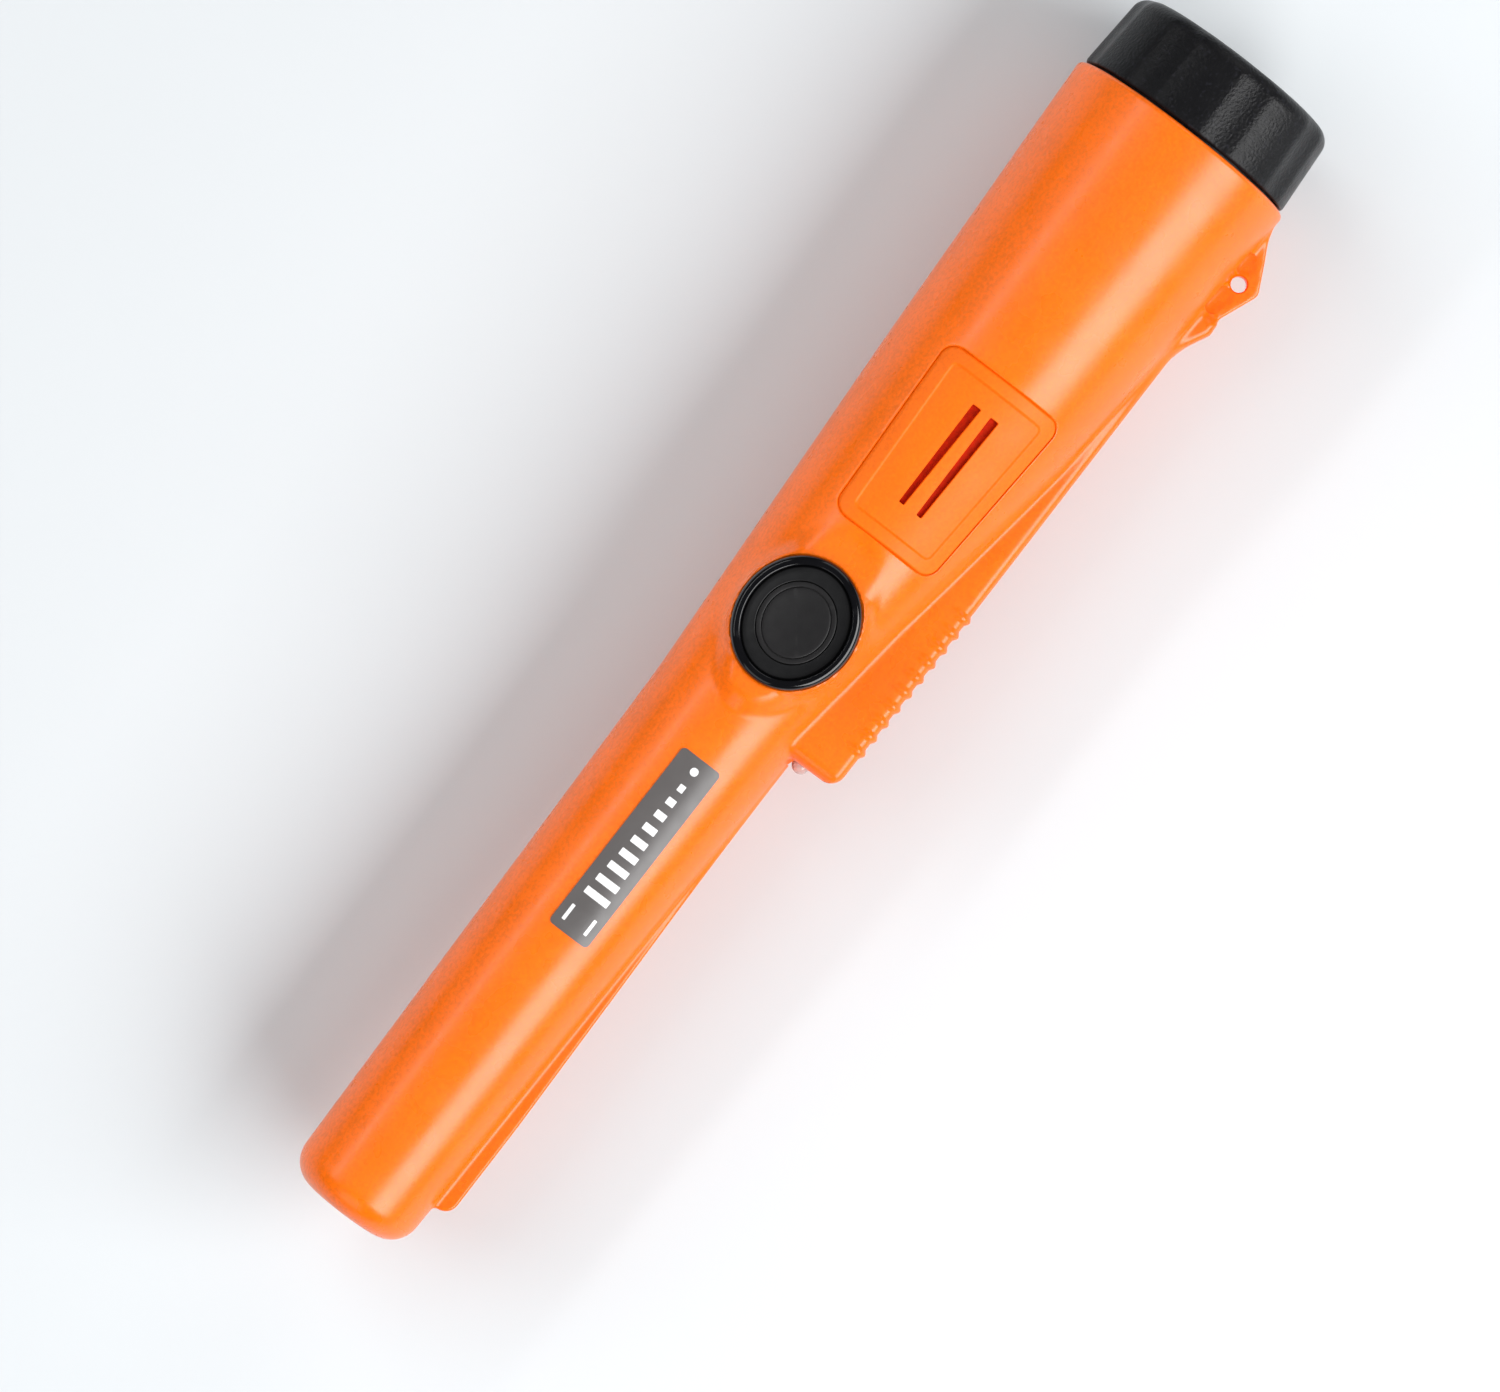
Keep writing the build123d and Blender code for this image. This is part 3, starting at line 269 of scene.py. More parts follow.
def rounded_polygon(corners, radii, steps=6):
    """A polygon's outline with each corner replaced by an arc."""
    out = []
    count = len(corners)
    for i, radius in enumerate(radii):
        p = np.array(corners[i], dtype=float)
        a = np.array(corners[i - 1], dtype=float) - p
        b = np.array(corners[(i + 1) % count], dtype=float) - p
        a /= np.linalg.norm(a)
        b /= np.linalg.norm(b)
        half = acos(max(-1.0, min(1.0, float(np.dot(a, b))))) / 2
        if radius <= 0 or half > radians(89):
            out.append(tuple(p))
            continue
        middle = p + (a + b) / np.linalg.norm(a + b) * radius / sin(half)
        t1 = p + a * radius / tan(half) - middle
        t2 = p + b * radius / tan(half) - middle
        a1 = atan2(t1[1], t1[0])
        turn = (atan2(t2[1], t2[0]) - a1 + pi) % (2 * pi) - pi
        for k in range(steps + 1):
            angle = a1 + turn * k / steps
            out.append((middle[0] + radius * cos(angle), middle[1] + radius * sin(angle)))
    return out


def slab_z(outline, levels):
    """A closed slab from an outline in x and y: levels are (z, how far the outline moves outwards)."""
    p = np.array(outline)
    nxt = np.roll(p, -1, axis=0)
    prv = np.roll(p, 1, axis=0)
    t = nxt - prv
    normal = np.stack([t[:, 1], -t[:, 0]], axis=1)
    normal /= np.linalg.norm(normal, axis=1)[:, None] + 1e-12
    area = np.sum(p[:, 0] * nxt[:, 1] - nxt[:, 0] * p[:, 1])
    if area < 0:
        normal = -normal
    rings = []
    for z, growth in levels:
        q = p + normal * growth
        rings.append(np.concatenate([q, np.full((len(q), 1), float(z))], axis=1))
    return rings_solid(rings)


# ================================================================ the housing's outer surface
def smooth_min(a, b, k):
    """The smaller of two distances, blended where they differ by less than k."""
    h = np.maximum(k - np.abs(a - b), 0.0) / k
    return np.minimum(a, b) - h * h * k / 4


def smooth_max(a, b, k):
    return -smooth_min(-a, -b, k)


def ramp(low, high, v):
    """0 below low, 1 above high, and a smooth step between."""
    t = np.clip((v - low) / (high - low), 0.0, 1.0)
    return t * t * (3 - 2 * t)


def centre_y(x):
    return SHAFT_Y * np.clip((np.asarray(x, dtype=float) - FLARE_X) / (SHAFT_X - FLARE_X), 0.0, 1.0)


def barrel_r(x):
    """The barrel's radius without its rounded ends."""
    x = np.asarray(x, dtype=float)
    rear = RIM_R + (FLARE_R - RIM_R) * (x - RIM_X) / (FLARE_X - RIM_X)
    middle = FLARE_R + (SHAFT_R - FLARE_R) * (x - FLARE_X) / (SHAFT_X - FLARE_X)
    front = SHAFT_R + (TIP_R - SHAFT_R) * (x - SHAFT_X) / (TOTAL - SHAFT_X)
    return smooth_max(smooth_min(rear, middle, STATION_BLEND), front, STATION_BLEND)


def barrel_end_r(x):
    """The barrel's radius with the rim's and the tip's rounding."""
    x = np.asarray(x, dtype=float)
    r = barrel_r(x)
    into_tip = np.clip(x - (TOTAL - TIP_EDGE), 0.0, TIP_EDGE)
    r = r - (TIP_EDGE - np.sqrt(TIP_EDGE ** 2 - into_tip ** 2))
    into_rim = np.clip(RIM_X + RIM_EDGE - x, 0.0, RIM_EDGE)
    return r - (RIM_EDGE - np.sqrt(RIM_EDGE ** 2 - into_rim ** 2))


def round_pair(a, b, r):
    """The distance to where two half spaces overlap, with their edge rounded."""
    return np.hypot(np.maximum(a + r, 0), np.maximum(b + r, 0)) + np.minimum(np.maximum(a, b) + r, 0) - r


def polygon_distance(points, x, y):
    """Distance from a closed outline, negative inside it."""
    p = np.array(points)
    best = np.full(x.shape, 1e9)
    inside = np.zeros(x.shape, dtype=bool)
    for i in range(len(p)):
        ax, ay = p[i - 1]
        bx, by = p[i]
        ex, ey = bx - ax, by - ay
        wx, wy = x - ax, y - ay
        t = np.clip((wx * ex + wy * ey) / (ex * ex + ey * ey + 1e-12), 0, 1)
        best = np.minimum(best, np.hypot(wx - ex * t, wy - ey * t))
        crosses = ((ay > y) != (by > y)) & (x < (bx - ax) * (y - ay) / (by - ay + 1e-12) + ax)
        inside ^= crosses
    return np.where(inside, -best, best)


def oval_distance(dx, dy, a, b):
    """Nearly the distance from an ellipse, negative inside it."""
    k0 = np.hypot(dx / a, dy / b)
    k1 = np.hypot(dx / a ** 2, dy / b ** 2) + 1e-9
    return k0 * (k0 - 1) / k1


WEB = rounded_polygon(
    [(17.2, 15.0), (17.9, 20.4), (22.6, 22.95), (27.5, 25.4), (36.0, 22.0), (43.0, 19.6), (43.0, 15.0)],
    [0, 0.8, 3.0, 1.3, 3.0, 0.8, 0], 5)
HORN = rounded_polygon(
    [(43.6, 15.0), (43.4, 19.9), (37.2, 23.15), (35.3, 22.85), (34.4, 15.0)],
    [0, 0.9, 1.0, 0.5, 0], 5)


def with_boss(body, x, y, z):
    """The barrel with the level patch under the button, raised towards the tip and sunk towards the cap,
    and with the seat of the button's ring."""
    patch = oval_distance(x - BOSS[0], y - BOSS[1], *PATCH_AXES)
    level = (1 - ramp(-3.4, 1.2, patch)) * ramp(3.0, 7.0, z)
    solid = body + level * (z - BOSS_TOP - body)
    seat = oval_distance(x - BUTTON[0], y - BUTTON[1], *SEAT_AXES)
    seat = np.maximum(round_pair(z - BOSS_TOP, seat, 0.3), 3.0 - z)
    return smooth_min(solid, seat, 0.02 + 2.8 * ramp(4.0, 9.5, np.abs(y - BUTTON[1])))


def keel_distance(x, y, z):
    """The keel, with finger ribs along its outer edge."""
    half = np.interp(x, *KEEL_WIDTHS)
    edge_y = np.interp(x, *KEEL_EDGE_Y)
    from_rib = np.abs(x[..., None] - np.array(RIBS)).min(axis=-1)
    keel = round_pair(np.abs(z) - half, y - edge_y, KEEL_ROUND)
    keel = keel - ramp(16.9, 19.0, y) * RIB_HEIGHT * ramp(-RIB_REACH, 0.0, -from_rib)
    keel = round_pair(keel, x - KEEL_FRONT, KEEL_FRONT_ROUND)
    return np.maximum(round_pair(keel, KEEL_START - x, 0.8), 4.0 - y)


def blade_distance(x, y, z):
    blade = round_pair(x - BLADE_END, y - np.interp(x, *BLADE_EDGE_Y), 2.4)
    blade = round_pair(blade, np.abs(z) - BLADE_HALF, 0.55)
    return np.maximum(np.maximum(blade, BLADE_START - x), 6.0 - y)


def lug_distance(x, y, z):
    web = round_pair(polygon_distance(WEB, x, y), np.abs(z) - WEB_HALF, 0.45)
    horn = round_pair(polygon_distance(HORN, x, y), np.abs(z) - HORN_HALF, 1.4)
    return smooth_min(web, horn, 1.6)


def housing_distance(x, y, z):
    """Distance from the housing's outer surface near it, negative inside."""
    solid = with_boss(np.hypot(y - centre_y(x), z) - barrel_end_r(x), x, y, z)
    solid = smooth_min(solid, keel_distance(x, y, z), 0.8)
    solid = smooth_min(solid, blade_distance(x, y, z), 1.1)
    near = (x < 46.5) & (y > 12.0)
    if near.any():
        solid[near] = smooth_min(solid[near], lug_distance(x[near], y[near], z[near]), 1.4)
    return solid


def spaced(*runs):
    """Increasing values: runs are (start, stop, step)."""
    values = []
    for start, stop, step in runs:
        count = max(1, round((stop - start) / step))
        values += list(np.linspace(start, stop, count, endpoint=False))
    values.append(runs[-1][1])
    return values


def eased(start, stop, steps, towards_stop=True):
    """Values that crowd together towards one end, as the points of a quarter circle do."""
    t = np.linspace(0, pi / 2, steps + 1)
    share = np.sin(t) if towards_stop else 1 - np.cos(t)
    return [start + (stop - start) * s for s in share]


def spread_out(values, gap):
    """Increasing values, without those that follow another by less than the gap."""
    kept = []
    for v in values:
        if not kept or v - kept[-1] > gap:
            kept.append(v)
    return kept


def housing_rows():
    """Stations along X, close together at the edges, the lug and the ribs."""
    rows = eased(RIM_X, RIM_X + RIM_EDGE, 5, towards_stop=False)
    rows += spaced((15.8, 20.0, 0.6), (20.0, 34.0, 0.5), (34.0, 35.8, 0.3), (35.8, 42.4, 0.5),
                   (42.4, 44.0, 0.2), (44.0, 64.0, 1.3), (64.0, 95.4, 1.25), (95.4, 97.0, 0.4))
    for rib in RIBS:
        rows += [rib + d for d in (-1.04, -0.85, -0.6, -0.3, 0.0, 0.3, 0.6, 0.85, 1.04)]
    rows += spaced((127.0, 129.9, 0.5))
    rows += eased(129.9, KEEL_FRONT, 9)
    rows += [KEEL_FRONT + d for d in (0.01, 0.06, 0.15, 0.3, 0.5, 0.8, 1.2)]
    rows += spaced((134.4, 138.0, 0.6), (138.0, 222.0, 2.2), (222.0, 223.0, 0.5))
    rows += eased(223.0, BLADE_END, 8)
    rows += [BLADE_END + d for d in (0.01, 0.08, 0.2, 0.4, 0.8, 1.6, 3.0)]
    rows += eased(TOTAL - TIP_EDGE, TOTAL, 12)[:-1]
    return np.array(spread_out(sorted({round(float(v), 4) for v in rows}), 0.009))


def housing_columns():
    """Angles from +Y towards +Z, closest together beside the lug, the blade and the keel."""
    side = spaced((0.0, 4.0, 0.5), (4.0, 9.5, 0.25), (9.5, 26.0, 0.6), (26.0, 44.0, 1.2), (44.0, 136.0, 1.5),
                  (136.0, 180.0, 2.6))
    other = [360 - a for a in side[1:-1]][::-1]
    return np.radians(np.array(side + other))


def housing_outer():
    """The outer surface, found by walking inwards from 28 mm along each ray from the barrel's axis."""
    rows = housing_rows()
    angles = housing_columns()
    x, a = np.meshgrid(rows, angles, indexing="ij")
    cy = centre_y(x)
    ca, sa = np.cos(a), np.sin(a)
    r = np.full(x.shape, 28.0)
    outside = r.copy()
    live = np.ones(x.shape, dtype=bool)
    for _ in range(110):
        rs = r[live]
        d = housing_distance(x[live], cy[live] + rs * ca[live], rs * sa[live])
        free = d > 0.002
        outside[live] = np.where(free, rs, outside[live])
        r[live] = np.where(free, rs - np.maximum(d * 0.55, 0.004), rs)
        still = np.zeros(x.shape, dtype=bool)
        still[live] = free
        live = still & (r > 1.0)
        if not live.any():
            break
    inside = r.copy()
    for _ in range(7):
        middle = (inside + outside) / 2
        free = housing_distance(x, cy + middle * ca, middle * sa) > 0
        outside = np.where(free, middle, outside)
        inside = np.where(free, inside, middle)
    r = (inside + outside) / 2
    n = len(angles)
    rings = [np.stack([x[i], cy[i] + r[i] * ca[i], r[i] * sa[i]], axis=1) for i in range(len(rows))]
    for share in (0.94, 0.75, 0.5, 0.25):
        rings.append(np.stack([np.full(n, TOTAL), centre_y(TOTAL) + share * r[-1] * np.cos(angles),
                               share * r[-1] * np.sin(angles)], axis=1))
    return pointed_solid([RIM_X, 0.0, 0.0], rings, [TOTAL, float(centre_y(TOTAL)), 0.0])


# ================================================================ bodies over the sounder panel
def panel_height(p, q):
    """The barrel surface's distance along the rolled normal, over the panel's own coordinates."""
    x = PANEL_X + p
    offset = PANEL_Y - centre_y(x)
    return np.sqrt(barrel_r(x) ** 2 - (q + offset * cos(ROLL)) ** 2) - offset * sin(ROLL)


def panel_point(p, q, d):
    return np.stack([PANEL_X + p, PANEL_Y + d * sin(ROLL) + q * cos(ROLL),
                     d * cos(ROLL) - q * sin(ROLL)], axis=-1)


def panel_outline(p, inset):
    """Half the inset panel's length, and its half width at p before its corners are rounded."""
    return PANEL_LENGTH / 2 - inset, (PANEL_TIP + PANEL_CAP) / 4 - PANEL_SLOPE * p - inset


def panel_half(p, inset):
    """The outline's half width at p, with rounded corners."""
    length, half = panel_outline(p, inset)
    corner = max(PANEL_CORNER - inset, 0.7)
    into = np.clip(corner - (length - np.abs(p)), 0.0, corner)
    return half - (corner - np.sqrt(np.maximum(corner ** 2 - into ** 2, 0.0)))


def panel_inside(p, q, inset):
    """Distance to the inset outline: negative inside it."""
    length, half = panel_outline(p, inset)
    return round_pair(np.abs(p) - length, (np.abs(q) - half) / sqrt(1 + PANEL_SLOPE ** 2),
                      max(PANEL_CORNER - inset, PANEL_INNER_CORNER))


def panel_body(levels, marks):
    """A closed body over the panel: levels are (inset, depth function of p and q), lowest first. marks are
    the distances from the edges at which its grid has lines."""
    marks = sorted(marks)
    middle = PANEL_LENGTH / 2 - marks[-1]
    inner = np.linspace(-middle, middle, 44)[1:-1]
    half_mean = (PANEL_TIP + PANEL_CAP) / 4
    s_marks = [1 - m / half_mean for m in marks]
    s_inner = np.linspace(-s_marks[-1], s_marks[-1], 26)[1:-1]
    share_p = np.array([-1 + 2 * m / PANEL_LENGTH for m in marks] + [v / (PANEL_LENGTH / 2) for v in inner]
                       + [1 - 2 * m / PANEL_LENGTH for m in reversed(marks)])
    share_q = np.array([-s for s in s_marks] + list(s_inner) + list(reversed(s_marks)))
    rows, cols = len(share_p), len(share_q)
    border = grid_border(rows, cols)

    def sheet(inset, height):
        p = np.repeat((share_p * (PANEL_LENGTH / 2 - inset))[:, None], cols, axis=1)
        q = share_q[None, :] * panel_half(p, inset)
        return panel_point(p, q, height(p, q)).reshape(-1, 3)

    points = [sheet(*levels[0]), sheet(*levels[-1])]
    count = rows * cols
    faces = [tuple(reversed(f)) for f in grid_quads(rows, cols)] + grid_quads(rows, cols, count)
    loops = [border]
    first = 2 * count
    for inset, height in levels[1:-1]:
        points.append(sheet(inset, height)[border])
        loops.append(list(range(first, first + len(border))))
        first += len(border)
    loops.append([count + k for k in border])
    n = len(border)
    for a, b in zip(loops, loops[1:]):
        faces += [(a[k], b[k], b[(k + 1) % n], a[(k + 1) % n]) for k in range(n)]
    points = np.concatenate(points)
    return points, outward(points, faces)


def plate(low, high, rows, columns):
    """A closed plate between two grids of points."""
    count = rows * columns
    quads = grid_quads(rows, columns)
    loop = grid_border(rows, columns)
    n = len(loop)
    faces = [tuple(reversed(f)) for f in quads] + [tuple(v + count for v in f) for f in quads]
    faces += [(loop[k], loop[(k + 1) % n], count + loop[(k + 1) % n], count + loop[k]) for k in range(n)]
    points = np.concatenate([low, high])
    return points, outward(points, faces)


def sunk(amount):
    """A depth function: the barrel's surface, moved by amount."""
    return lambda p, q: panel_height(p, q) + amount


EDGE_MARKS = [0.0, 0.06, 0.14, 0.24, 0.36, 0.5, 0.7, 0.95, 1.2, 1.45, 1.7, 1.82, 1.94, 2.06, 2.18, 2.3, 2.42,
              2.54, 2.68, 2.9, 3.2, 3.6]
COARSE_MARKS = [0.0, 0.2, 0.45, 0.8, 1.2, 1.7, 2.4, 3.2]


def slot_cutter(side, growth):
    """A tapered sound slot, flared by growth where it meets the surface."""
    centre = side * 1.78
    rings = []
    for depth, flare in ((-2.4, 0.0), (-0.62, 0.0), (-0.3, growth), (1.5, growth + 1.0)):
        outline = rounded_polygon([(9.2 + flare, -0.5 - flare), (9.2 + flare, 0.5 + flare),
                                   (-10.3 - flare, 0.81 + flare), (-10.3 - flare, -0.81 - flare)],
                                  [0.2 + flare] * 4, 5)
        p = np.array([c[0] for c in outline])
        q = np.array([c[1] for c in outline]) + centre
        rings.append(panel_point(p, q, panel_height(p, q) + depth))
    return rings_solid(rings)


# ================================================================ materials
def shader(name, base, roughness, metallic=0.0):
    """A new material with its nodes, links and main shader."""
    material = bpy.data.materials.new(name)
    material.use_nodes = True
    nodes = material.node_tree.nodes
    principled = nodes.get("Principled BSDF")
    principled.inputs["Base Color"].default_value = (*base, 1.0)
    principled.inputs["Roughness"].default_value = roughness
    principled.inputs["Metallic"].default_value = metallic
    return material, nodes, material.node_tree.links, principled


def noise(nodes, links, coord, size_mm, detail=2.0, rough=0.5, stretch=None):
    """A noise texture whose features are about size_mm across."""
    node = nodes.new("ShaderNodeTexNoise")
    node.inputs["Scale"].default_value = 1000.0 / size_mm
    node.inputs["Detail"].default_value = detail
    node.inputs["Roughness"].default_value = rough
    source = coord
    if stretch:
        mapping = nodes.new("ShaderNodeMapping")
        mapping.inputs["Scale"].default_value = stretch
        links.new(coord, mapping.inputs["Vector"])
        source = mapping.outputs["Vector"]
    links.new(source, node.inputs["Vector"])
    return node.outputs["Fac"]


def remap(nodes, links, value, low, high, from_low=0.3, from_high=0.7):
    """A noise value stretched to the range from low to high."""
    node = nodes.new("ShaderNodeMapRange")
    node.inputs["From Min"].default_value = from_low
    node.inputs["From Max"].default_value = from_high
    node.inputs["To Min"].default_value = low
    node.inputs["To Max"].default_value = high
    links.new(value, node.inputs["Value"])
    return node.outputs["Result"]


def mix_colour(nodes, links, factor, a, b):
    """A colour between a and b, each a plain colour or a socket."""
    node = nodes.new("ShaderNodeMix")
    node.data_type = "RGBA"
    for socket, value in ((node.inputs[6], a), (node.inputs[7], b)):
        if isinstance(value, tuple):
            socket.default_value = (*value, 1.0)
        else:
            links.new(value, socket)
    links.new(factor, node.inputs[0])
    return node.outputs[2]


def shade(colour, factor):
    return tuple(min(1.0, c * factor) for c in colour)


def moulded(name, colour, roughness, grain=0.35, depth=0.012, variation=0.08, spread=0.06, wear=None,
            metallic=0.0, size=9.0, edge=0.35, painted_glint_specks=None, specular=0.5, coat=0.0, stretch=None, grain_tone_and_pit_shade=0.0):
    """A surface with grain (its size and depth in millimetres), gloss and colour that vary by spread and
    variation over patches of the given size, a fine tone that follows the grain (random, and painted shade:
    darker in its pits, lighter on its bumps), lighter specks painted as glints, and edges rubbed to the wear
    colour."""
    material, nodes, links, out = shader(name, colour, roughness, metallic)
    out.inputs["Specular IOR Level"].default_value = specular
    if coat:
        out.inputs["Coat Weight"].default_value = coat
        out.inputs["Coat Roughness"].default_value = 0.1
    coord = nodes.new("ShaderNodeTexCoord").outputs["Object"]
    broad = noise(nodes, links, coord, size, 3.0)
    fine = noise(nodes, links, coord, grain, 2.0, 0.55, stretch)
    mixed = mix_colour(nodes, links, remap(nodes, links, broad, 0.0, 1.0),
                       shade(colour, 1 - variation), shade(colour, 1 + variation))
    # fine tone from the grain's own noise: random, and painted shade, darker in the grain's pits and lighter
    # on its bumps
    if grain_tone_and_pit_shade:
        pit_shade_mix = nodes.new("ShaderNodeMix")
        pit_shade_mix.data_type = "RGBA"
        pit_shade_mix.blend_type = "MULTIPLY"
        pit_shade_mix.inputs[0].default_value = 1.0
        links.new(mixed, pit_shade_mix.inputs[6])
        level = remap(nodes, links, fine, 1 - grain_tone_and_pit_shade, 1 + grain_tone_and_pit_shade)
        links.new(level, pit_shade_mix.inputs[7])
        mixed = pit_shade_mix.outputs[2]
    # lighter specks: painted glints standing for the grain's sparkle in highlights
    if painted_glint_specks is not None:
        glint_specks_mask = noise(nodes, links, coord, grain * 1.3, 1.0)
        mixed = mix_colour(nodes, links, remap(nodes, links, glint_specks_mask, 0.0, 1.0, 0.60, 0.72), mixed, painted_glint_specks)
    if wear is not None:
        geometry = nodes.new("ShaderNodeNewGeometry")
        rubbed = noise(nodes, links, coord, 2.2, 3.0)
        exposed = remap(nodes, links, geometry.outputs["Pointiness"], 0.0, 1.0, 0.53, 0.62)
        both = nodes.new("ShaderNodeMath")
        both.operation = "MULTIPLY"
        links.new(exposed, both.inputs[0])
        links.new(remap(nodes, links, rubbed, 0.0, edge, 0.35, 0.75), both.inputs[1])
        mixed = mix_colour(nodes, links, both.outputs[0], mixed, wear)
    links.new(mixed, out.inputs["Base Color"])
    gloss = noise(nodes, links, coord, size * 0.4, 3.0)
    links.new(remap(nodes, links, gloss, max(0.02, roughness - spread), min(1.0, roughness + spread)),
              out.inputs["Roughness"])
    bump = nodes.new("ShaderNodeBump")
    bump.inputs["Strength"].default_value = 1.0
    bump.inputs["Distance"].default_value = depth * MM
    links.new(fine, bump.inputs["Height"])
    links.new(bump.outputs["Normal"], out.inputs["Normal"])
    return material


ORANGE = (0.95, 0.155, 0.0004)
# its fine tone paints shade into the grain's pits and light onto its bumps
panel_orange = moulded("orange_panel", shade(ORANGE, 0.98), 0.50, grain=0.55, depth=0.030,
                       variation=0.04, spread=0.04, wear=(0.95, 0.20, 0.005), size=12.0, edge=0.3,
                       specular=0.26, grain_tone_and_pit_shade=0.09)
surround_black = moulded("button_surround_black", (0.007, 0.007, 0.0075), 0.40, grain=0.18, depth=0.005,
                         variation=0.06, spread=0.03, wear=(0.03, 0.03, 0.03), size=4.0, specular=0.38)
label_ink = moulded("label_print", (0.80, 0.80, 0.80), 0.38, grain=0.2, depth=0.002, variation=0.06,
                    size=5.0)
led_cup = moulded("led_reflector", (0.72, 0.70, 0.66), 0.2, grain=0.1, depth=0.003, variation=0.06,
                  metallic=1.0, size=1.0)
led_die = moulded("led_phosphor", (0.85, 0.60, 0.12), 0.5, grain=0.08, depth=0.004, variation=0.08, size=0.6)

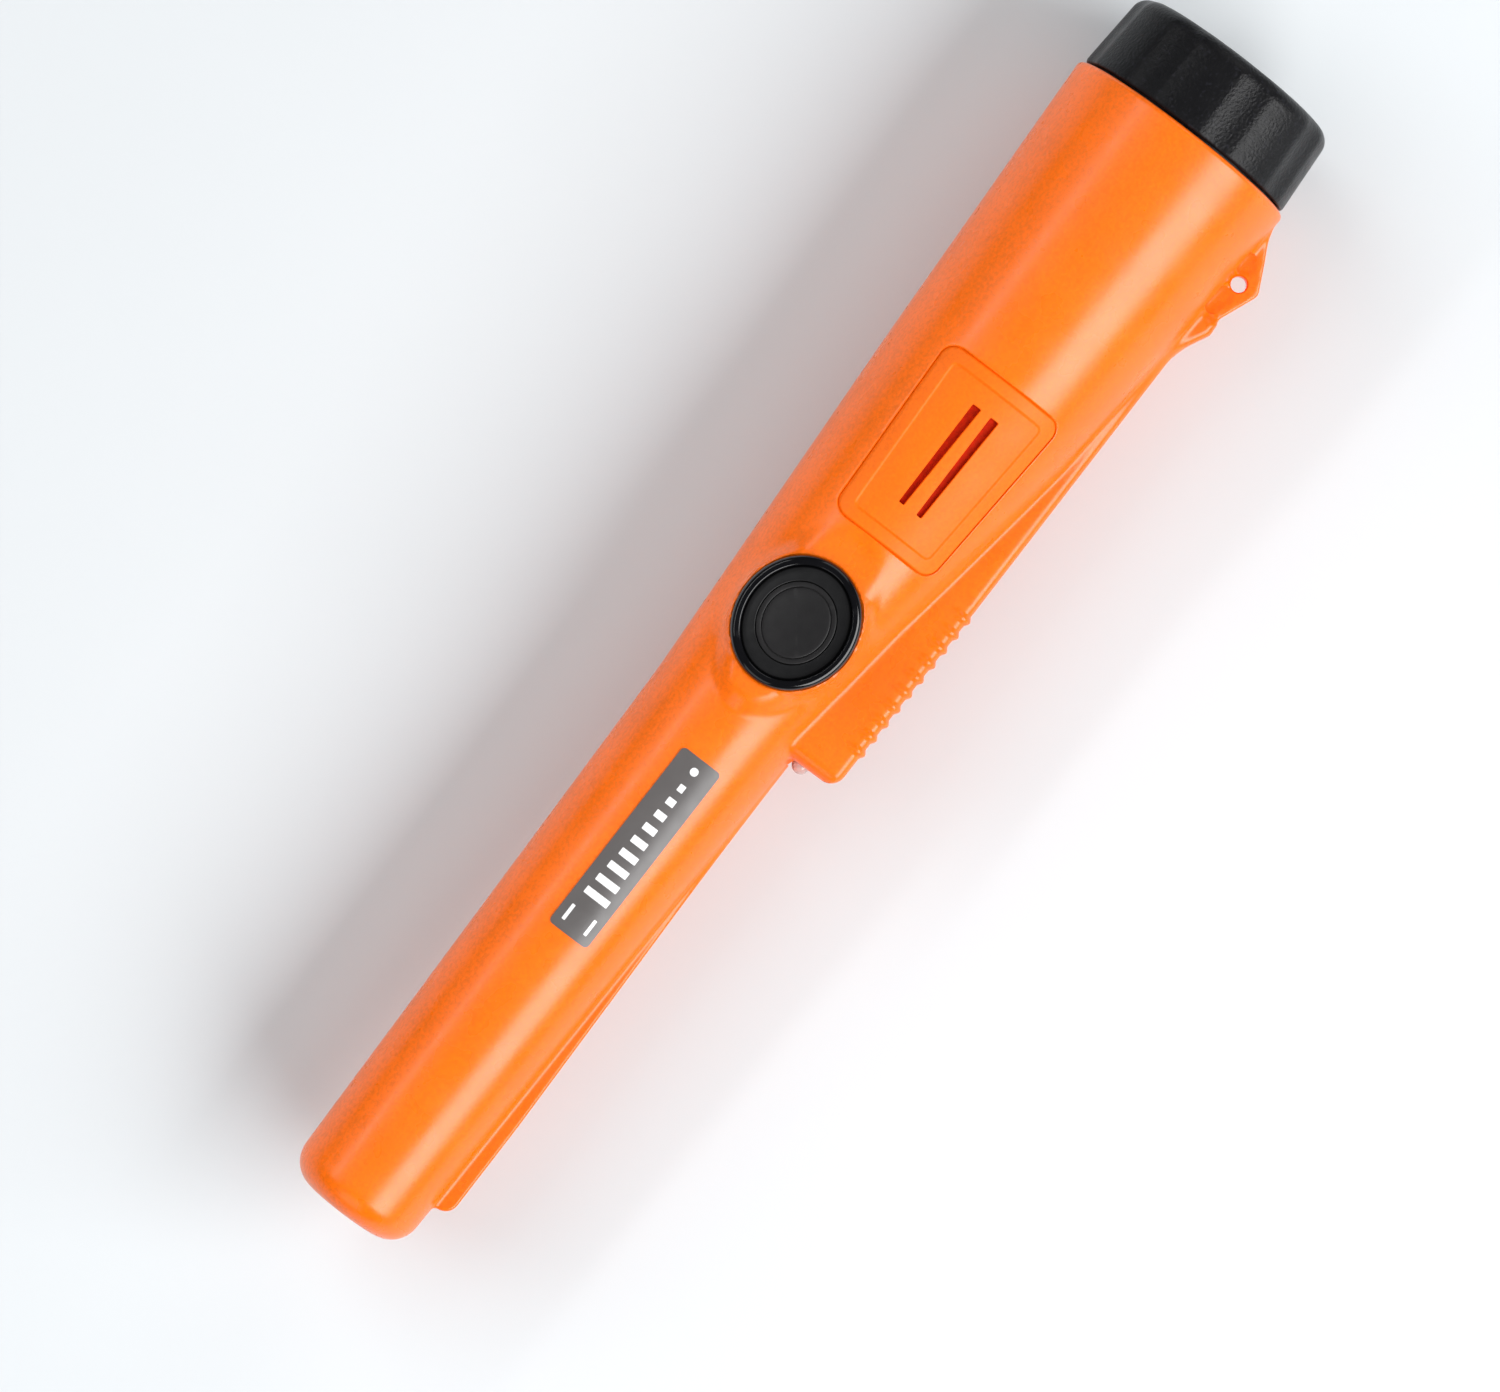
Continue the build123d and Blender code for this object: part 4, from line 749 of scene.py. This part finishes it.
# one finish for each material slot of the record
finishes = {
    # its fine tone paints shade into the grain's pits and light onto its bumps
    "housing_orange": moulded("orange_plastic", ORANGE, 0.29, grain=0.60, depth=0.010, variation=0.05,
        spread=0.04, wear=(0.95, 0.22, 0.01), size=14.0, edge=0.35, specular=0.50, grain_tone_and_pit_shade=0.12),
    "red_mesh": moulded("red_woven_mesh", (0.40, 0.013, 0.0), 0.75, grain=0.10, depth=0.004,
        variation=0.2, size=0.9, wear=(0.85, 0.06, 0.01), specular=0.1),
    "ring_black": moulded("glossy_black_ring", (0.004, 0.004, 0.005), 0.09, grain=0.6, depth=0.002,
        variation=0.2, spread=0.03, wear=(0.03, 0.03, 0.033), size=5.0, edge=0.3, specular=0.50),
    "button_rubber": moulded("button_rubber", (0.009, 0.0085, 0.009), 0.46, grain=0.20, depth=0.008,
        variation=0.06, spread=0.03, wear=(0.03, 0.029, 0.03), size=4.0, specular=0.42),
    # its lighter specks are painted glints standing for sparkle
    "cap_black": moulded("cap_black_plastic", (0.006, 0.006, 0.0068), 0.36, grain=0.52, depth=0.11,
        variation=0.12, spread=0.05, wear=(0.02, 0.02, 0.022), size=8.0, edge=0.4,
        painted_glint_specks=(0.012, 0.012, 0.015), specular=0.21),
    "label_grey": moulded("label_grey_satin", (0.108, 0.100, 0.098), 0.33, grain=0.22, depth=0.003,
        variation=0.06, spread=0.05, wear=(0.3, 0.29, 0.28), size=6.0),
    "seal_rubber": moulded("seal_rubber", (0.020, 0.020, 0.021), 0.55, grain=0.12, depth=0.006,
        variation=0.15, wear=(0.06, 0.06, 0.06), size=3.0),
    "foam_black": moulded("black_foam", (0.028, 0.028, 0.030), 0.92, grain=0.28, depth=0.12,
        variation=0.3, size=1.5),
    "battery_can": moulded("printed_steel_can", (0.045, 0.047, 0.055), 0.30, grain=1.2, depth=0.004,
        variation=0.12, wear=(0.55, 0.50, 0.42), metallic=0.35, size=12.0, coat=0.3),
    "battery_plastic": moulded("battery_end_plastic", (0.030, 0.030, 0.032), 0.48, grain=0.25,
        depth=0.006, variation=0.15, wear=(0.1, 0.1, 0.1), size=5.0),
    "battery_cell": moulded("cell_wrap", (0.38, 0.39, 0.40), 0.32, grain=0.5, depth=0.004, variation=0.1,
        metallic=0.6, size=5.0, wear=(0.6, 0.6, 0.6)),
    "nickel": moulded("nickel_plate", (0.62, 0.59, 0.53), 0.22, grain=0.22, depth=0.003, variation=0.08,
        spread=0.08, metallic=1.0, size=3.0, wear=(0.8, 0.76, 0.68), stretch=(1.0, 0.15, 1.0)),
    "board_green": moulded("board_green_mask", (0.010, 0.085, 0.030), 0.26, grain=0.5, depth=0.004,
        variation=0.22, size=2.4, wear=(0.20, 0.17, 0.07), coat=0.4),
    "inner_plastic": moulded("inner_black_plastic", (0.045, 0.046, 0.048), 0.5, grain=0.4, depth=0.01,
        variation=0.12, wear=(0.12, 0.12, 0.12), size=7.0),
    "screw_steel": moulded("zinc_steel", (0.55, 0.55, 0.56), 0.28, grain=0.18, depth=0.004,
        variation=0.1, spread=0.09, metallic=1.0, size=2.0, wear=(0.75, 0.75, 0.75)),
    "chip_black": moulded("chip_epoxy", (0.018, 0.018, 0.019), 0.45, grain=0.12, depth=0.005,
        variation=0.15, wear=(0.06, 0.06, 0.06), size=2.0),
    "passive_tan": moulded("ceramic_tan", (0.36, 0.22, 0.11), 0.42, grain=0.15, depth=0.004,
        variation=0.15, wear=(0.6, 0.55, 0.5), size=1.0),
    "capacitor_can": moulded("capacitor_can", (0.60, 0.60, 0.61), 0.25, grain=0.25, depth=0.003,
        variation=0.08, metallic=0.9, size=2.0, wear=(0.8, 0.8, 0.8)),
    "switch_stem": moulded("switch_stem_cream", (0.62, 0.58, 0.46), 0.40, grain=0.15, depth=0.004,
        variation=0.06, wear=(0.75, 0.72, 0.62), size=2.0),
    "piezo_brass": moulded("piezo_brass", (0.72, 0.52, 0.22), 0.28, grain=0.22, depth=0.004,
        variation=0.1, metallic=1.0, size=3.0, wear=(0.85, 0.68, 0.34)),
    "weight_metal": moulded("sintered_tungsten", (0.30, 0.29, 0.28), 0.42, grain=0.12, depth=0.006,
        variation=0.12, metallic=1.0, size=1.5, wear=(0.5, 0.49, 0.48)),
    "ferrite": moulded("ferrite_ceramic", (0.035, 0.034, 0.036), 0.44, grain=0.18, depth=0.008,
        variation=0.2, wear=(0.11, 0.11, 0.11), size=3.0),
    "copper_wire": moulded("enamelled_copper", (0.62, 0.20, 0.06), 0.28, grain=0.30, depth=0.05,
        variation=0.15, metallic=0.85, size=2.0, wear=(0.8, 0.4, 0.2), stretch=(1.0, 0.02, 0.02)),
    "lead_red": moulded("red_lead_jacket", (0.55, 0.015, 0.010), 0.42, grain=0.2, depth=0.004,
        variation=0.1, wear=(0.7, 0.08, 0.06), size=3.0),
    "lead_black": moulded("black_lead_jacket", (0.02, 0.02, 0.021), 0.42, grain=0.2, depth=0.004,
        variation=0.15, wear=(0.06, 0.06, 0.06), size=3.0),
    "tinned_wire": moulded("tinned_wire", (0.66, 0.65, 0.63), 0.25, grain=0.2, depth=0.003,
        variation=0.08, metallic=1.0, size=2.0, wear=(0.8, 0.8, 0.78)),
    "led_clear": moulded("clear_pink_epoxy", (1.0, 0.86, 0.83), 0.12, grain=0.7, depth=0.002,
        variation=0.03, spread=0.03, size=2.0),
}
clear = finishes["led_clear"].node_tree.nodes["Principled BSDF"]
clear.inputs["Transmission Weight"].default_value = 0.55
clear.inputs["IOR"].default_value = 1.5

# the CAD nodes that are carried over take their slot's finish
for entry in frame["record"]["subparts"]:
    if entry["node"] in frame["nodes"]:
        carried = frame["nodes"][entry["node"]].data
        if not carried.materials:
            carried.materials.append(None)
        for index in range(len(carried.materials)):
            carried.materials[index] = finishes[entry["material_slot"]]
frame["nodes"]["button_surround"].data.materials[0] = surround_black

# ================================================================ housing
def block(low, high):
    """A closed box, for cutting."""
    points = [(x, y, z) for x in (low[0], high[0]) for y in (low[1], high[1]) for z in (low[2], high[2])]
    faces = [(0, 1, 3, 2), (4, 6, 7, 5), (0, 4, 5, 1), (2, 3, 7, 6), (0, 2, 6, 4), (1, 5, 7, 3)]
    return np.array(points, dtype=float), outward(points, faces)


def pocket(corners, face):
    """A shallow soft-edged recess in the lug's side: face is +1 for the upper side and -1 for the lower."""
    outline = rounded_polygon(corners, [0.5] * len(corners), 6)
    steps = ((-1.0, 0.0), (-0.8, 0.16), (-0.3, 0.45), (0.0, 0.85))
    levels = [(face * (WEB_HALF + share * POCKET_DEPTH), growth) for share, growth in steps]
    return slab_z(outline, levels + [(face * 4.0, 0.9)])


# battery bay, electronics and coil space, one after another along X
cavity_stations = [(14.0, 18.83, 0.0), (14.8, 18.83, 0.0), (18.0, 18.83, 0.0), (18.45, 18.4, 0.0),
                   (26.0, 18.4, 0.0), (26.8, 17.6, 0.0), (57.6, 16.8, 0.0), (57.61, 16.8, 0.0),
                   (FLARE_X, FLARE_R - 2.0, 0.0), (SHAFT_X, SHAFT_R - 2.0, SHAFT_Y), (231.2, 9.2, SHAFT_Y)]
cavity = rings_solid([circle_ring(x, r, y, n=160) for x, r, y in cavity_stations])
mouth = rings_solid([circle_ring(x, r, n=160)
                     for x, r in ((13.0, 19.9), (RIM_X - 0.05, 19.25), (RIM_X + 0.4, 18.8))])
panel_pocket = panel_body([(-0.15, sunk(-1.3)), (-0.15, sunk(-0.28)), (-0.30, sunk(-0.06)),
                           (-0.50, sunk(0.05)), (-0.5, sunk(3.5))], COARSE_MARKS)
panel_window = panel_body([(1.6, lambda p, q: 8.0 + 0 * p), (1.6, sunk(-1.0))], COARSE_MARKS)
button_hole = oval_solid([(0, 0, 9.0), (10.0, 8.85, 9.0), (10.0, 8.85, 14.25), (11.3, 10.15, 14.25),
                          (11.3, 10.15, 14.86), (11.5, 10.35, 15.02), (11.9, 10.75, 15.4),
                          (11.9, 10.75, 21.0), (0, 0, 21.0)])
led_hole = spindle_x([(126.0, 0), (126.0, 2.2), (127.0, 2.2), (127.0, 1.58), (132.5, 1.58), (132.75, 1.85),
                      (134.0, 3.0), (134.0, 0)], y=LED_Y, n=64)
led_channel = block((117.9, 8.4, -2.3), (126.5, 15.3, 2.3))
lug_hole = slab_z([(LUG_HOLE_X + dx, LUG_HOLE_Y + dy) for dx, dy in arc(0, 0, LUG_HOLE_R, 0, 352.5, 48)],
                  [(-5.0, 1.0), (-2.2, 0.35), (-1.75, 0.0), (1.75, 0.0), (2.2, 0.35), (5.0, 1.0)])
pocket_corners = ([(30.1, 20.4), (30.4, 22.0), (33.6, 20.9), (34.0, 19.9)],
                  [(22.0, 20.5), (25.3, 22.2), (25.9, 20.3)])
pockets = [pocket(corners, face) for face in (1, -1) for corners in pocket_corners]

housing = build("housing_shell", *housing_outer(), None, "housing", "housing_orange", ["main_housing"],
                sharp=40.0)
carve(housing, [cavity, mouth, panel_pocket, panel_window, button_hole, led_hole, led_channel, lug_hole]
      + pockets, finishes["housing_orange"], 40.0)


def ridge(start_x, turns, foot_r, crest_r, steps=96):
    """A thread ridge around X, with run-outs at both ends."""
    points, faces = [], []
    count = ceil(turns * steps)
    for i in range(count + 1):
        a = 2 * pi * i / steps
        x = start_x + THREAD_PITCH * i / steps
        fade = min(1.0, i / 10, (count - i) / 10)
        top = foot_r + (crest_r - foot_r) * max(0.05, fade)
        for dx, r in ((-0.75, foot_r), (-0.4, top), (0.4, top), (0.75, foot_r)):
            points.append((x + dx, r * sin(a), r * cos(a)))
    for i in range(count):
        for j in range(4):
            k = (j + 1) % 4
            faces.append((4 * i + j, 4 * i + k, 4 * i + 4 + k, 4 * i + 4 + j))
    faces.append((3, 2, 1, 0))
    faces.append(tuple(4 * count + j for j in range(4)))
    return np.array(points), outward(points, faces)


build("housing_thread", *ridge(19.6, 1.9, 18.6, 17.55), finishes["housing_orange"], "housing",
      "housing_orange")

# ================================================================ sounder cover and mesh
def cover_top(p, q):
    """The cover's face: a rounded rim around a sunk field that is flatter than the barrel."""
    inside = -panel_inside(p, q, 0.0)
    edge = 0.34
    shoulder = edge - np.sqrt(np.maximum(edge ** 2 - np.clip(edge - inside, 0, edge) ** 2, 0.0))
    field = ramp(0.0, 0.5, -panel_inside(p, q, 2.05))
    flatter = 0.16 * np.clip(1 - (q / 8.6) ** 2, 0.0, 1.0)
    return panel_height(p, q) - shoulder - (0.34 + flatter) * field


cover_levels = [(-0.13, sunk(-1.25)), (-0.13, sunk(-0.5)), (-0.06, sunk(-0.40)), (0.02, sunk(-0.34)),
                (0.02, cover_top)]
cover = build("sounder_cover_face", *panel_body(cover_levels, EDGE_MARKS), None, "housing", "housing_orange",
              ["sounder_cover"], sharp=50.0)
carve(cover, [slot_cutter(-1, 0.16), slot_cutter(1, 0.16)], panel_orange, 50.0)


def woven_sheet():
    """A plain weave of fine wires, as one rippled sheet with thickness."""
    pitch = 0.5
    p = np.arange(-12.0, 12.001, pitch / 5)
    q = np.arange(-4.5, 4.501, pitch / 5)
    pp, qq = np.meshgrid(p, q, indexing="ij")
    along = np.cos(2 * pi * pp / pitch)
    over = np.cos(2 * pi * qq / pitch)
    weave = 0.5 + 0.25 * along * over - 0.25 * (np.minimum(np.abs(along), np.abs(over)) < 0.3)
    top = panel_point(pp, qq, panel_height(pp, qq) - 1.40 + 0.12 * weave)
    low = panel_point(pp, qq, panel_height(pp, qq) - 1.68)
    rows, cols = pp.shape
    points = np.concatenate([top.reshape(-1, 3), low.reshape(-1, 3)])
    count = rows * cols
    faces = grid_quads(rows, cols)
    loop = grid_border(rows, cols)
    n = len(loop)
    faces += [(loop[k], loop[(k + 1) % n], count + loop[(k + 1) % n], count + loop[k]) for k in range(n)]
    faces.append(tuple(count + v for v in loop))
    return points, outward(points, faces)


build("sound_mesh_weave", *woven_sheet(), finishes["red_mesh"], "housing", "red_mesh", ["sound_mesh"],
      sharp=80.0)

# ================================================================ power button
def oval_arc(a, b, z, r, start, stop, steps):
    """(a, b, z) points that go round an edge of radius r, angles in degrees."""
    return [(a + c, b + c, z + s) for c, s in arc(0, 0, r, start, stop, steps)]


bezel_loop = [(8.3, 7.4, 11.0), (9.9, 8.75, 11.0), (9.9, 8.75, 14.3), (11.25, 10.1, 14.3),
              (11.25, 10.1, 15.75)]
bezel_loop += oval_arc(10.2, 9.05, 15.75, 1.05, 8, 90, 10)
bezel_loop += oval_arc(9.98, 8.83, 16.5, 0.3, 90, 180, 5)
bezel_loop += [(9.66, 8.51, 16.2), (9.6, 8.45, 15.5), (9.52, 8.37, 14.7), (8.3, 7.4, 14.7)]
build("button_ring", *oval_ring_solid(bezel_loop), finishes["ring_black"], "housing", "ring_black",
      ["button_bezel"], sharp=50.0)

surround_loop = [(6.98, 6.38, 14.75), (9.4, 8.25, 14.75), (9.4, 8.25, 15.45)]
surround_loop += oval_arc(9.22, 8.07, 15.47, 0.18, 10, 90, 4)
surround_loop += [(8.3, 7.45, 15.60), (7.5, 6.85, 15.50)]
surround_loop += oval_arc(7.12, 6.52, 15.35, 0.14, 80, 180, 6)
build("button_annulus", *oval_ring_solid(surround_loop), surround_black, "housing", "button_rubber",
      ["button_surround"], sharp=50.0)

# the button: a flange below, a rounded shoulder, a fine groove, and a slightly dished middle
cap_stack = [(0, 0, 12.6), (7.9, 7.0, 12.6), (7.9, 7.0, 13.6), (6.85, 6.25, 13.6), (6.85, 6.25, 15.05)]
cap_stack += oval_arc(6.70, 6.10, 15.28, 0.16, 10, 90, 5)
cap_stack += [(6.12, 5.52, 15.44), (6.06, 5.46, 15.42), (6.02, 5.42, 15.34), (5.99, 5.39, 15.24),
              (5.91, 5.31, 15.24), (5.88, 5.28, 15.34), (5.84, 5.24, 15.41), (5.76, 5.16, 15.43),
              (5.40, 4.8, 15.43)]
cap_stack += [(a, a * 4.8 / 5.4, 15.43 - 0.24 * (1 - (a / 5.4) ** 2)) for a in (4.8, 4.1, 3.3, 2.4, 1.5, 0.7)]
cap_stack += [(0, 0, 15.19)]
build("button_face", *oval_solid(cap_stack), finishes["button_rubber"], "button", "button_rubber",
      ["button_cap"], sharp=50.0)


# ================================================================ label on the tip shaft
def label_body(x0, x1, q0, q1, low, high, corner, rows=None):
    """A thin plate wrapped on the tip shaft; q runs across it, along the rolled direction."""
    half = (q1 - q0) / 2
    middle = (q0 + q1) / 2
    straight = np.linspace(x0 + corner, x1 - corner, rows or max(3, int((x1 - x0) / 2)))
    xs = spread_out(eased(x0, x0 + corner, 6, towards_stop=False) + list(straight)
                    + eased(x1 - corner, x1, 6), 1e-4)
    cols = 15 if half > 1.5 else 7
    sheets = []
    for lift in (low, high):
        points = []
        for x in xs:
            into = max(0.0, corner - min(x - x0, x1 - x))
            reach = half - (corner - sqrt(max(corner ** 2 - into ** 2, 0.0)))
            for j in range(cols):
                q = middle + reach * (-1 + 2 * j / (cols - 1))
                d = sqrt((float(barrel_r(x)) + lift) ** 2 - q * q)
                points.append((x, SHAFT_Y + d * sin(ROLL) + q * cos(ROLL), d * cos(ROLL) - q * sin(ROLL)))
        sheets.append(points)
    return plate(*sheets, len(xs), cols)


label_low = LABEL_X - LABEL_LENGTH / 2
label_high = LABEL_X + LABEL_LENGTH / 2
build("label_sticker", *label_body(label_low, label_high, -LABEL_WIDTH / 2, LABEL_WIDTH / 2, 0.01, 0.19, 0.8),
      finishes["label_grey"], "housing", "label_grey", ["label_plate"], sharp=60.0)

# generic marks: nine bars that grow, a dot before them and two dashes behind: (x0, x1, q0, q1, corner)
mark_areas = []
for k in range(9):
    x, rise = label_low + 5.0 + 2.75 * k, 0.55 + 0.22 * k
    mark_areas.append((x, x + 1.3, -rise, rise, 0.12))
mark_areas.append((label_low + 1.6, label_low + 3.0, -0.7, 0.7, 0.65))
mark_areas.append((label_high - 4.6, label_high - 1.6, 1.9, 2.5, 0.12))
mark_areas.append((label_high - 4.6, label_high - 1.6, -2.5, -1.9, 0.12))
marks = join([label_body(x0, x1, q0, q1, MARK_LOW, MARK_HIGH, corner, rows=2)
              for x0, x1, q0, q1, corner in mark_areas])
build("label_marks", *marks, label_ink, "housing", "label_grey")

# ================================================================ LED
led_profile = [(126.2, 0), (126.2, 1.9), (127.3, 1.9), (127.3, LED_R), (LED_DOME_X, LED_R)]
led_profile += [(LED_DOME_X + LED_R * sin(a), LED_R * cos(a)) for a in np.linspace(0.12, pi / 2 - 0.12, 10)]
led_profile += [(LED_DOME_X + LED_R, 0)]
build("led_lens", *spindle_x(led_profile, y=LED_Y, n=64), finishes["led_clear"], "housing", "led_clear",
      ["led"], sharp=50.0)
cup_loop = [(129.4, 0.30), (129.4, 0.75), (130.5, 1.05), (130.5, 0.92), (130.0, 0.62), (129.9, 0.32)]
build("led_reflector_cup", *lathe_x(cup_loop, y=LED_Y, n=40), led_cup, "housing", "led_clear", sharp=40.0)
dome_profile = [(129.7, 0), (129.75, 0.5), (130.15, 0.55), (130.35, 0.38), (130.42, 0)]
build("led_phosphor_dome", *spindle_x(dome_profile, y=LED_Y, n=32), led_die, "housing", "led_clear",
      sharp=60.0)

# ================================================================ battery cap
def cap_profile():
    """(x, r, share of the flutes) along the cap's section: end face, flange, skirt, then the inside."""
    rows = [(0.0, 6.0, 0.0), (0.0, 11.0, 0.0), (0.0, CAP_R - CAP_EDGE - 0.4, 0.0)]
    for a in np.radians(np.linspace(0, 90, 13)):
        x = CAP_EDGE - CAP_EDGE * cos(a)
        r = CAP_R + CAP_TAPER * CAP_EDGE - CAP_EDGE + CAP_EDGE * sin(a)
        rows.append((x, r, sin(a) ** 0.7))
    rows += [(x, CAP_R + CAP_TAPER * x, 1.0) for x in np.linspace(3.6, 13.4, 12)]
    back_x = CAP_FLANGE - CAP_BACK_EDGE
    back_r = CAP_R + CAP_TAPER * back_x - CAP_BACK_EDGE
    rows += [(back_x + CAP_BACK_EDGE * sin(a), back_r + CAP_BACK_EDGE * cos(a), 1.0)
             for a in np.radians((0, 25, 50, 75, 90))]
    # skirt with the O-ring's groove and the thread's land, then the inside
    skirt = [(CAP_FLANGE, 19.0), (CAP_FLANGE, 18.6), (15.25, 18.6), (15.3, 18.55), (15.3, 17.28),
             (17.3, 17.28), (17.3, 18.05), (17.35, 18.1), (18.2, 18.1), (19.0, 17.3), (25.7, 17.3),
             (26.0, 17.0), (26.0, 16.4), (25.8, 16.2), (3.0, 16.2)]
    return rows + [(x, r, 0.0) for x, r in skirt]


def cap_angles():
    """Angles around the cap, closest together at the flutes."""
    values = [(np.degrees(flute) + d) % 360 for flute in FLUTES for d in np.linspace(-24, 24, 49)]
    values += list(np.arange(0, 360, 1.5))
    return np.radians(spread_out(sorted({round(float(v), 3) for v in values}), 0.3))


def flute_cut(x, angles):
    """How far each flute sinks below the flange's surface, with slightly eased edges."""
    land = CAP_R + CAP_TAPER * x
    centre = land - FLUTE_DEPTH + FLUTE_R
    cut = np.zeros(len(angles))
    for flute in FLUTES:
        d = (angles - flute + pi) % (2 * pi) - pi
        root = FLUTE_R ** 2 - (centre * np.sin(d)) ** 2
        reach = centre * np.cos(d) - np.sqrt(np.maximum(root, 0.0))
        sink = np.where((np.abs(d) < radians(40)) & (root > 0), land - reach, -1.0)
        cut = np.maximum(cut, smooth_max(sink, np.zeros_like(sink), FLUTE_BLEND))
    return cut


def cap_body():
    angles = cap_angles()
    n = len(angles)
    rings = []
    for x, r, share in cap_profile():
        radius = r - share * flute_cut(x, angles)
        rings.append(np.stack([np.full(n, x), radius * np.sin(angles), radius * np.cos(angles)], axis=1))
    return pointed_solid([0.0, 0.0, 0.0], rings, [3.0, 0.0, 0.0])


build("cap_shell", *cap_body(), finishes["cap_black"], "cap", "cap_black", ["battery_cap"], sharp=38.0)
build("cap_thread", *ridge(21.1, 1.4, 17.1, 18.05), finishes["cap_black"], "cap", "cap_black")

# ================================================================ floor, lights and camera (metres)
MIDDLE_X = 0.12
FLOOR_HALF = 2.4
floor_z = cad_bounds[0][2] - 0.00002
floor_mesh = bpy.data.meshes.new("floor")
floor_mesh.from_pydata([(MIDDLE_X + sx * FLOOR_HALF, sy * FLOOR_HALF, floor_z)
                        for sx, sy in ((-1, -1), (1, -1), (1, 1), (-1, 1))], [], [(0, 1, 2, 3)])
floor = bpy.data.objects.new("floor", floor_mesh)
scene.collection.objects.link(floor)
floor_mesh.materials.append(moulded("pale_floor", (0.66, 0.69, 0.71), 0.6, grain=3.0, depth=0.01,
                                    variation=0.012, size=180.0))

world = bpy.data.worlds.new("studio")
scene.world = world
world.use_nodes = True
world.node_tree.nodes["Background"].inputs["Color"].default_value = (0.93, 0.96, 1.0, 1.0)
world.node_tree.nodes["Background"].inputs["Strength"].default_value = 0.06


def softbox(name, position, size, power, glossy):
    """A rectangular lamp that faces the middle of the object, its first side as near to X as that allows."""
    lamp = bpy.data.lights.new(name, "AREA")
    lamp.shape = "RECTANGLE"
    lamp.size, lamp.size_y = size
    lamp.energy = power
    obj = bpy.data.objects.new(name, lamp)
    scene.collection.objects.link(obj)
    back = (Vector(position) - Vector((MIDDLE_X, 0.0, 0.0))).normalized()
    side = Vector((1.0, 0.0, 0.0))
    side = (side - back * side.dot(back)).normalized()
    matrix = Matrix((side, back.cross(side), back)).transposed().to_4x4()
    matrix.translation = Vector(position)
    obj.matrix_world = matrix
    obj.visible_glossy = glossy


# name, position, size, watts, and whether it shows in glossy surfaces
for lamp_values in (("strip_keel_side", (MIDDLE_X, 0.67, 0.57), (1.1, 0.52), 12.0, True),
                    ("strip_far_side", (MIDDLE_X, -0.62, 0.60), (1.1, 0.06), 1.4, True),
                    ("overhead", (MIDDLE_X, 0.0, 1.3), (1.2, 1.2), 3.2, False),
                    ("far_fill", (MIDDLE_X, -0.9, 0.8), (1.2, 1.2), 7.6, False),
                    ("end_fill", (-0.75, 0.0, 0.45), (0.5, 0.5), 0.9, True),
                    ("tip_fill", (0.95, 0.0, 0.45), (0.5, 0.5), 0.9, True)):
    softbox(*lamp_values)

camera_data = bpy.data.cameras.new("photo_camera")
camera_data.sensor_width = 36.0
camera_data.lens = 185.3
camera_data.clip_start = 0.01
camera_data.clip_end = 20.0
camera = bpy.data.objects.new("photo_camera", camera_data)
scene.collection.objects.link(camera)
right = Vector((-0.6110, 0.7916, 0.0)).normalized()
up = Vector((-0.7916, -0.6110, 0.0)).normalized()
pose = Matrix((right, up, Vector((0.0, 0.0, 1.0)))).transposed().to_4x4()
pose.translation = Vector((0.12887, -0.000158, 1.25))
camera.matrix_world = pose
scene.camera = camera
scene.view_settings.view_transform = "Standard"
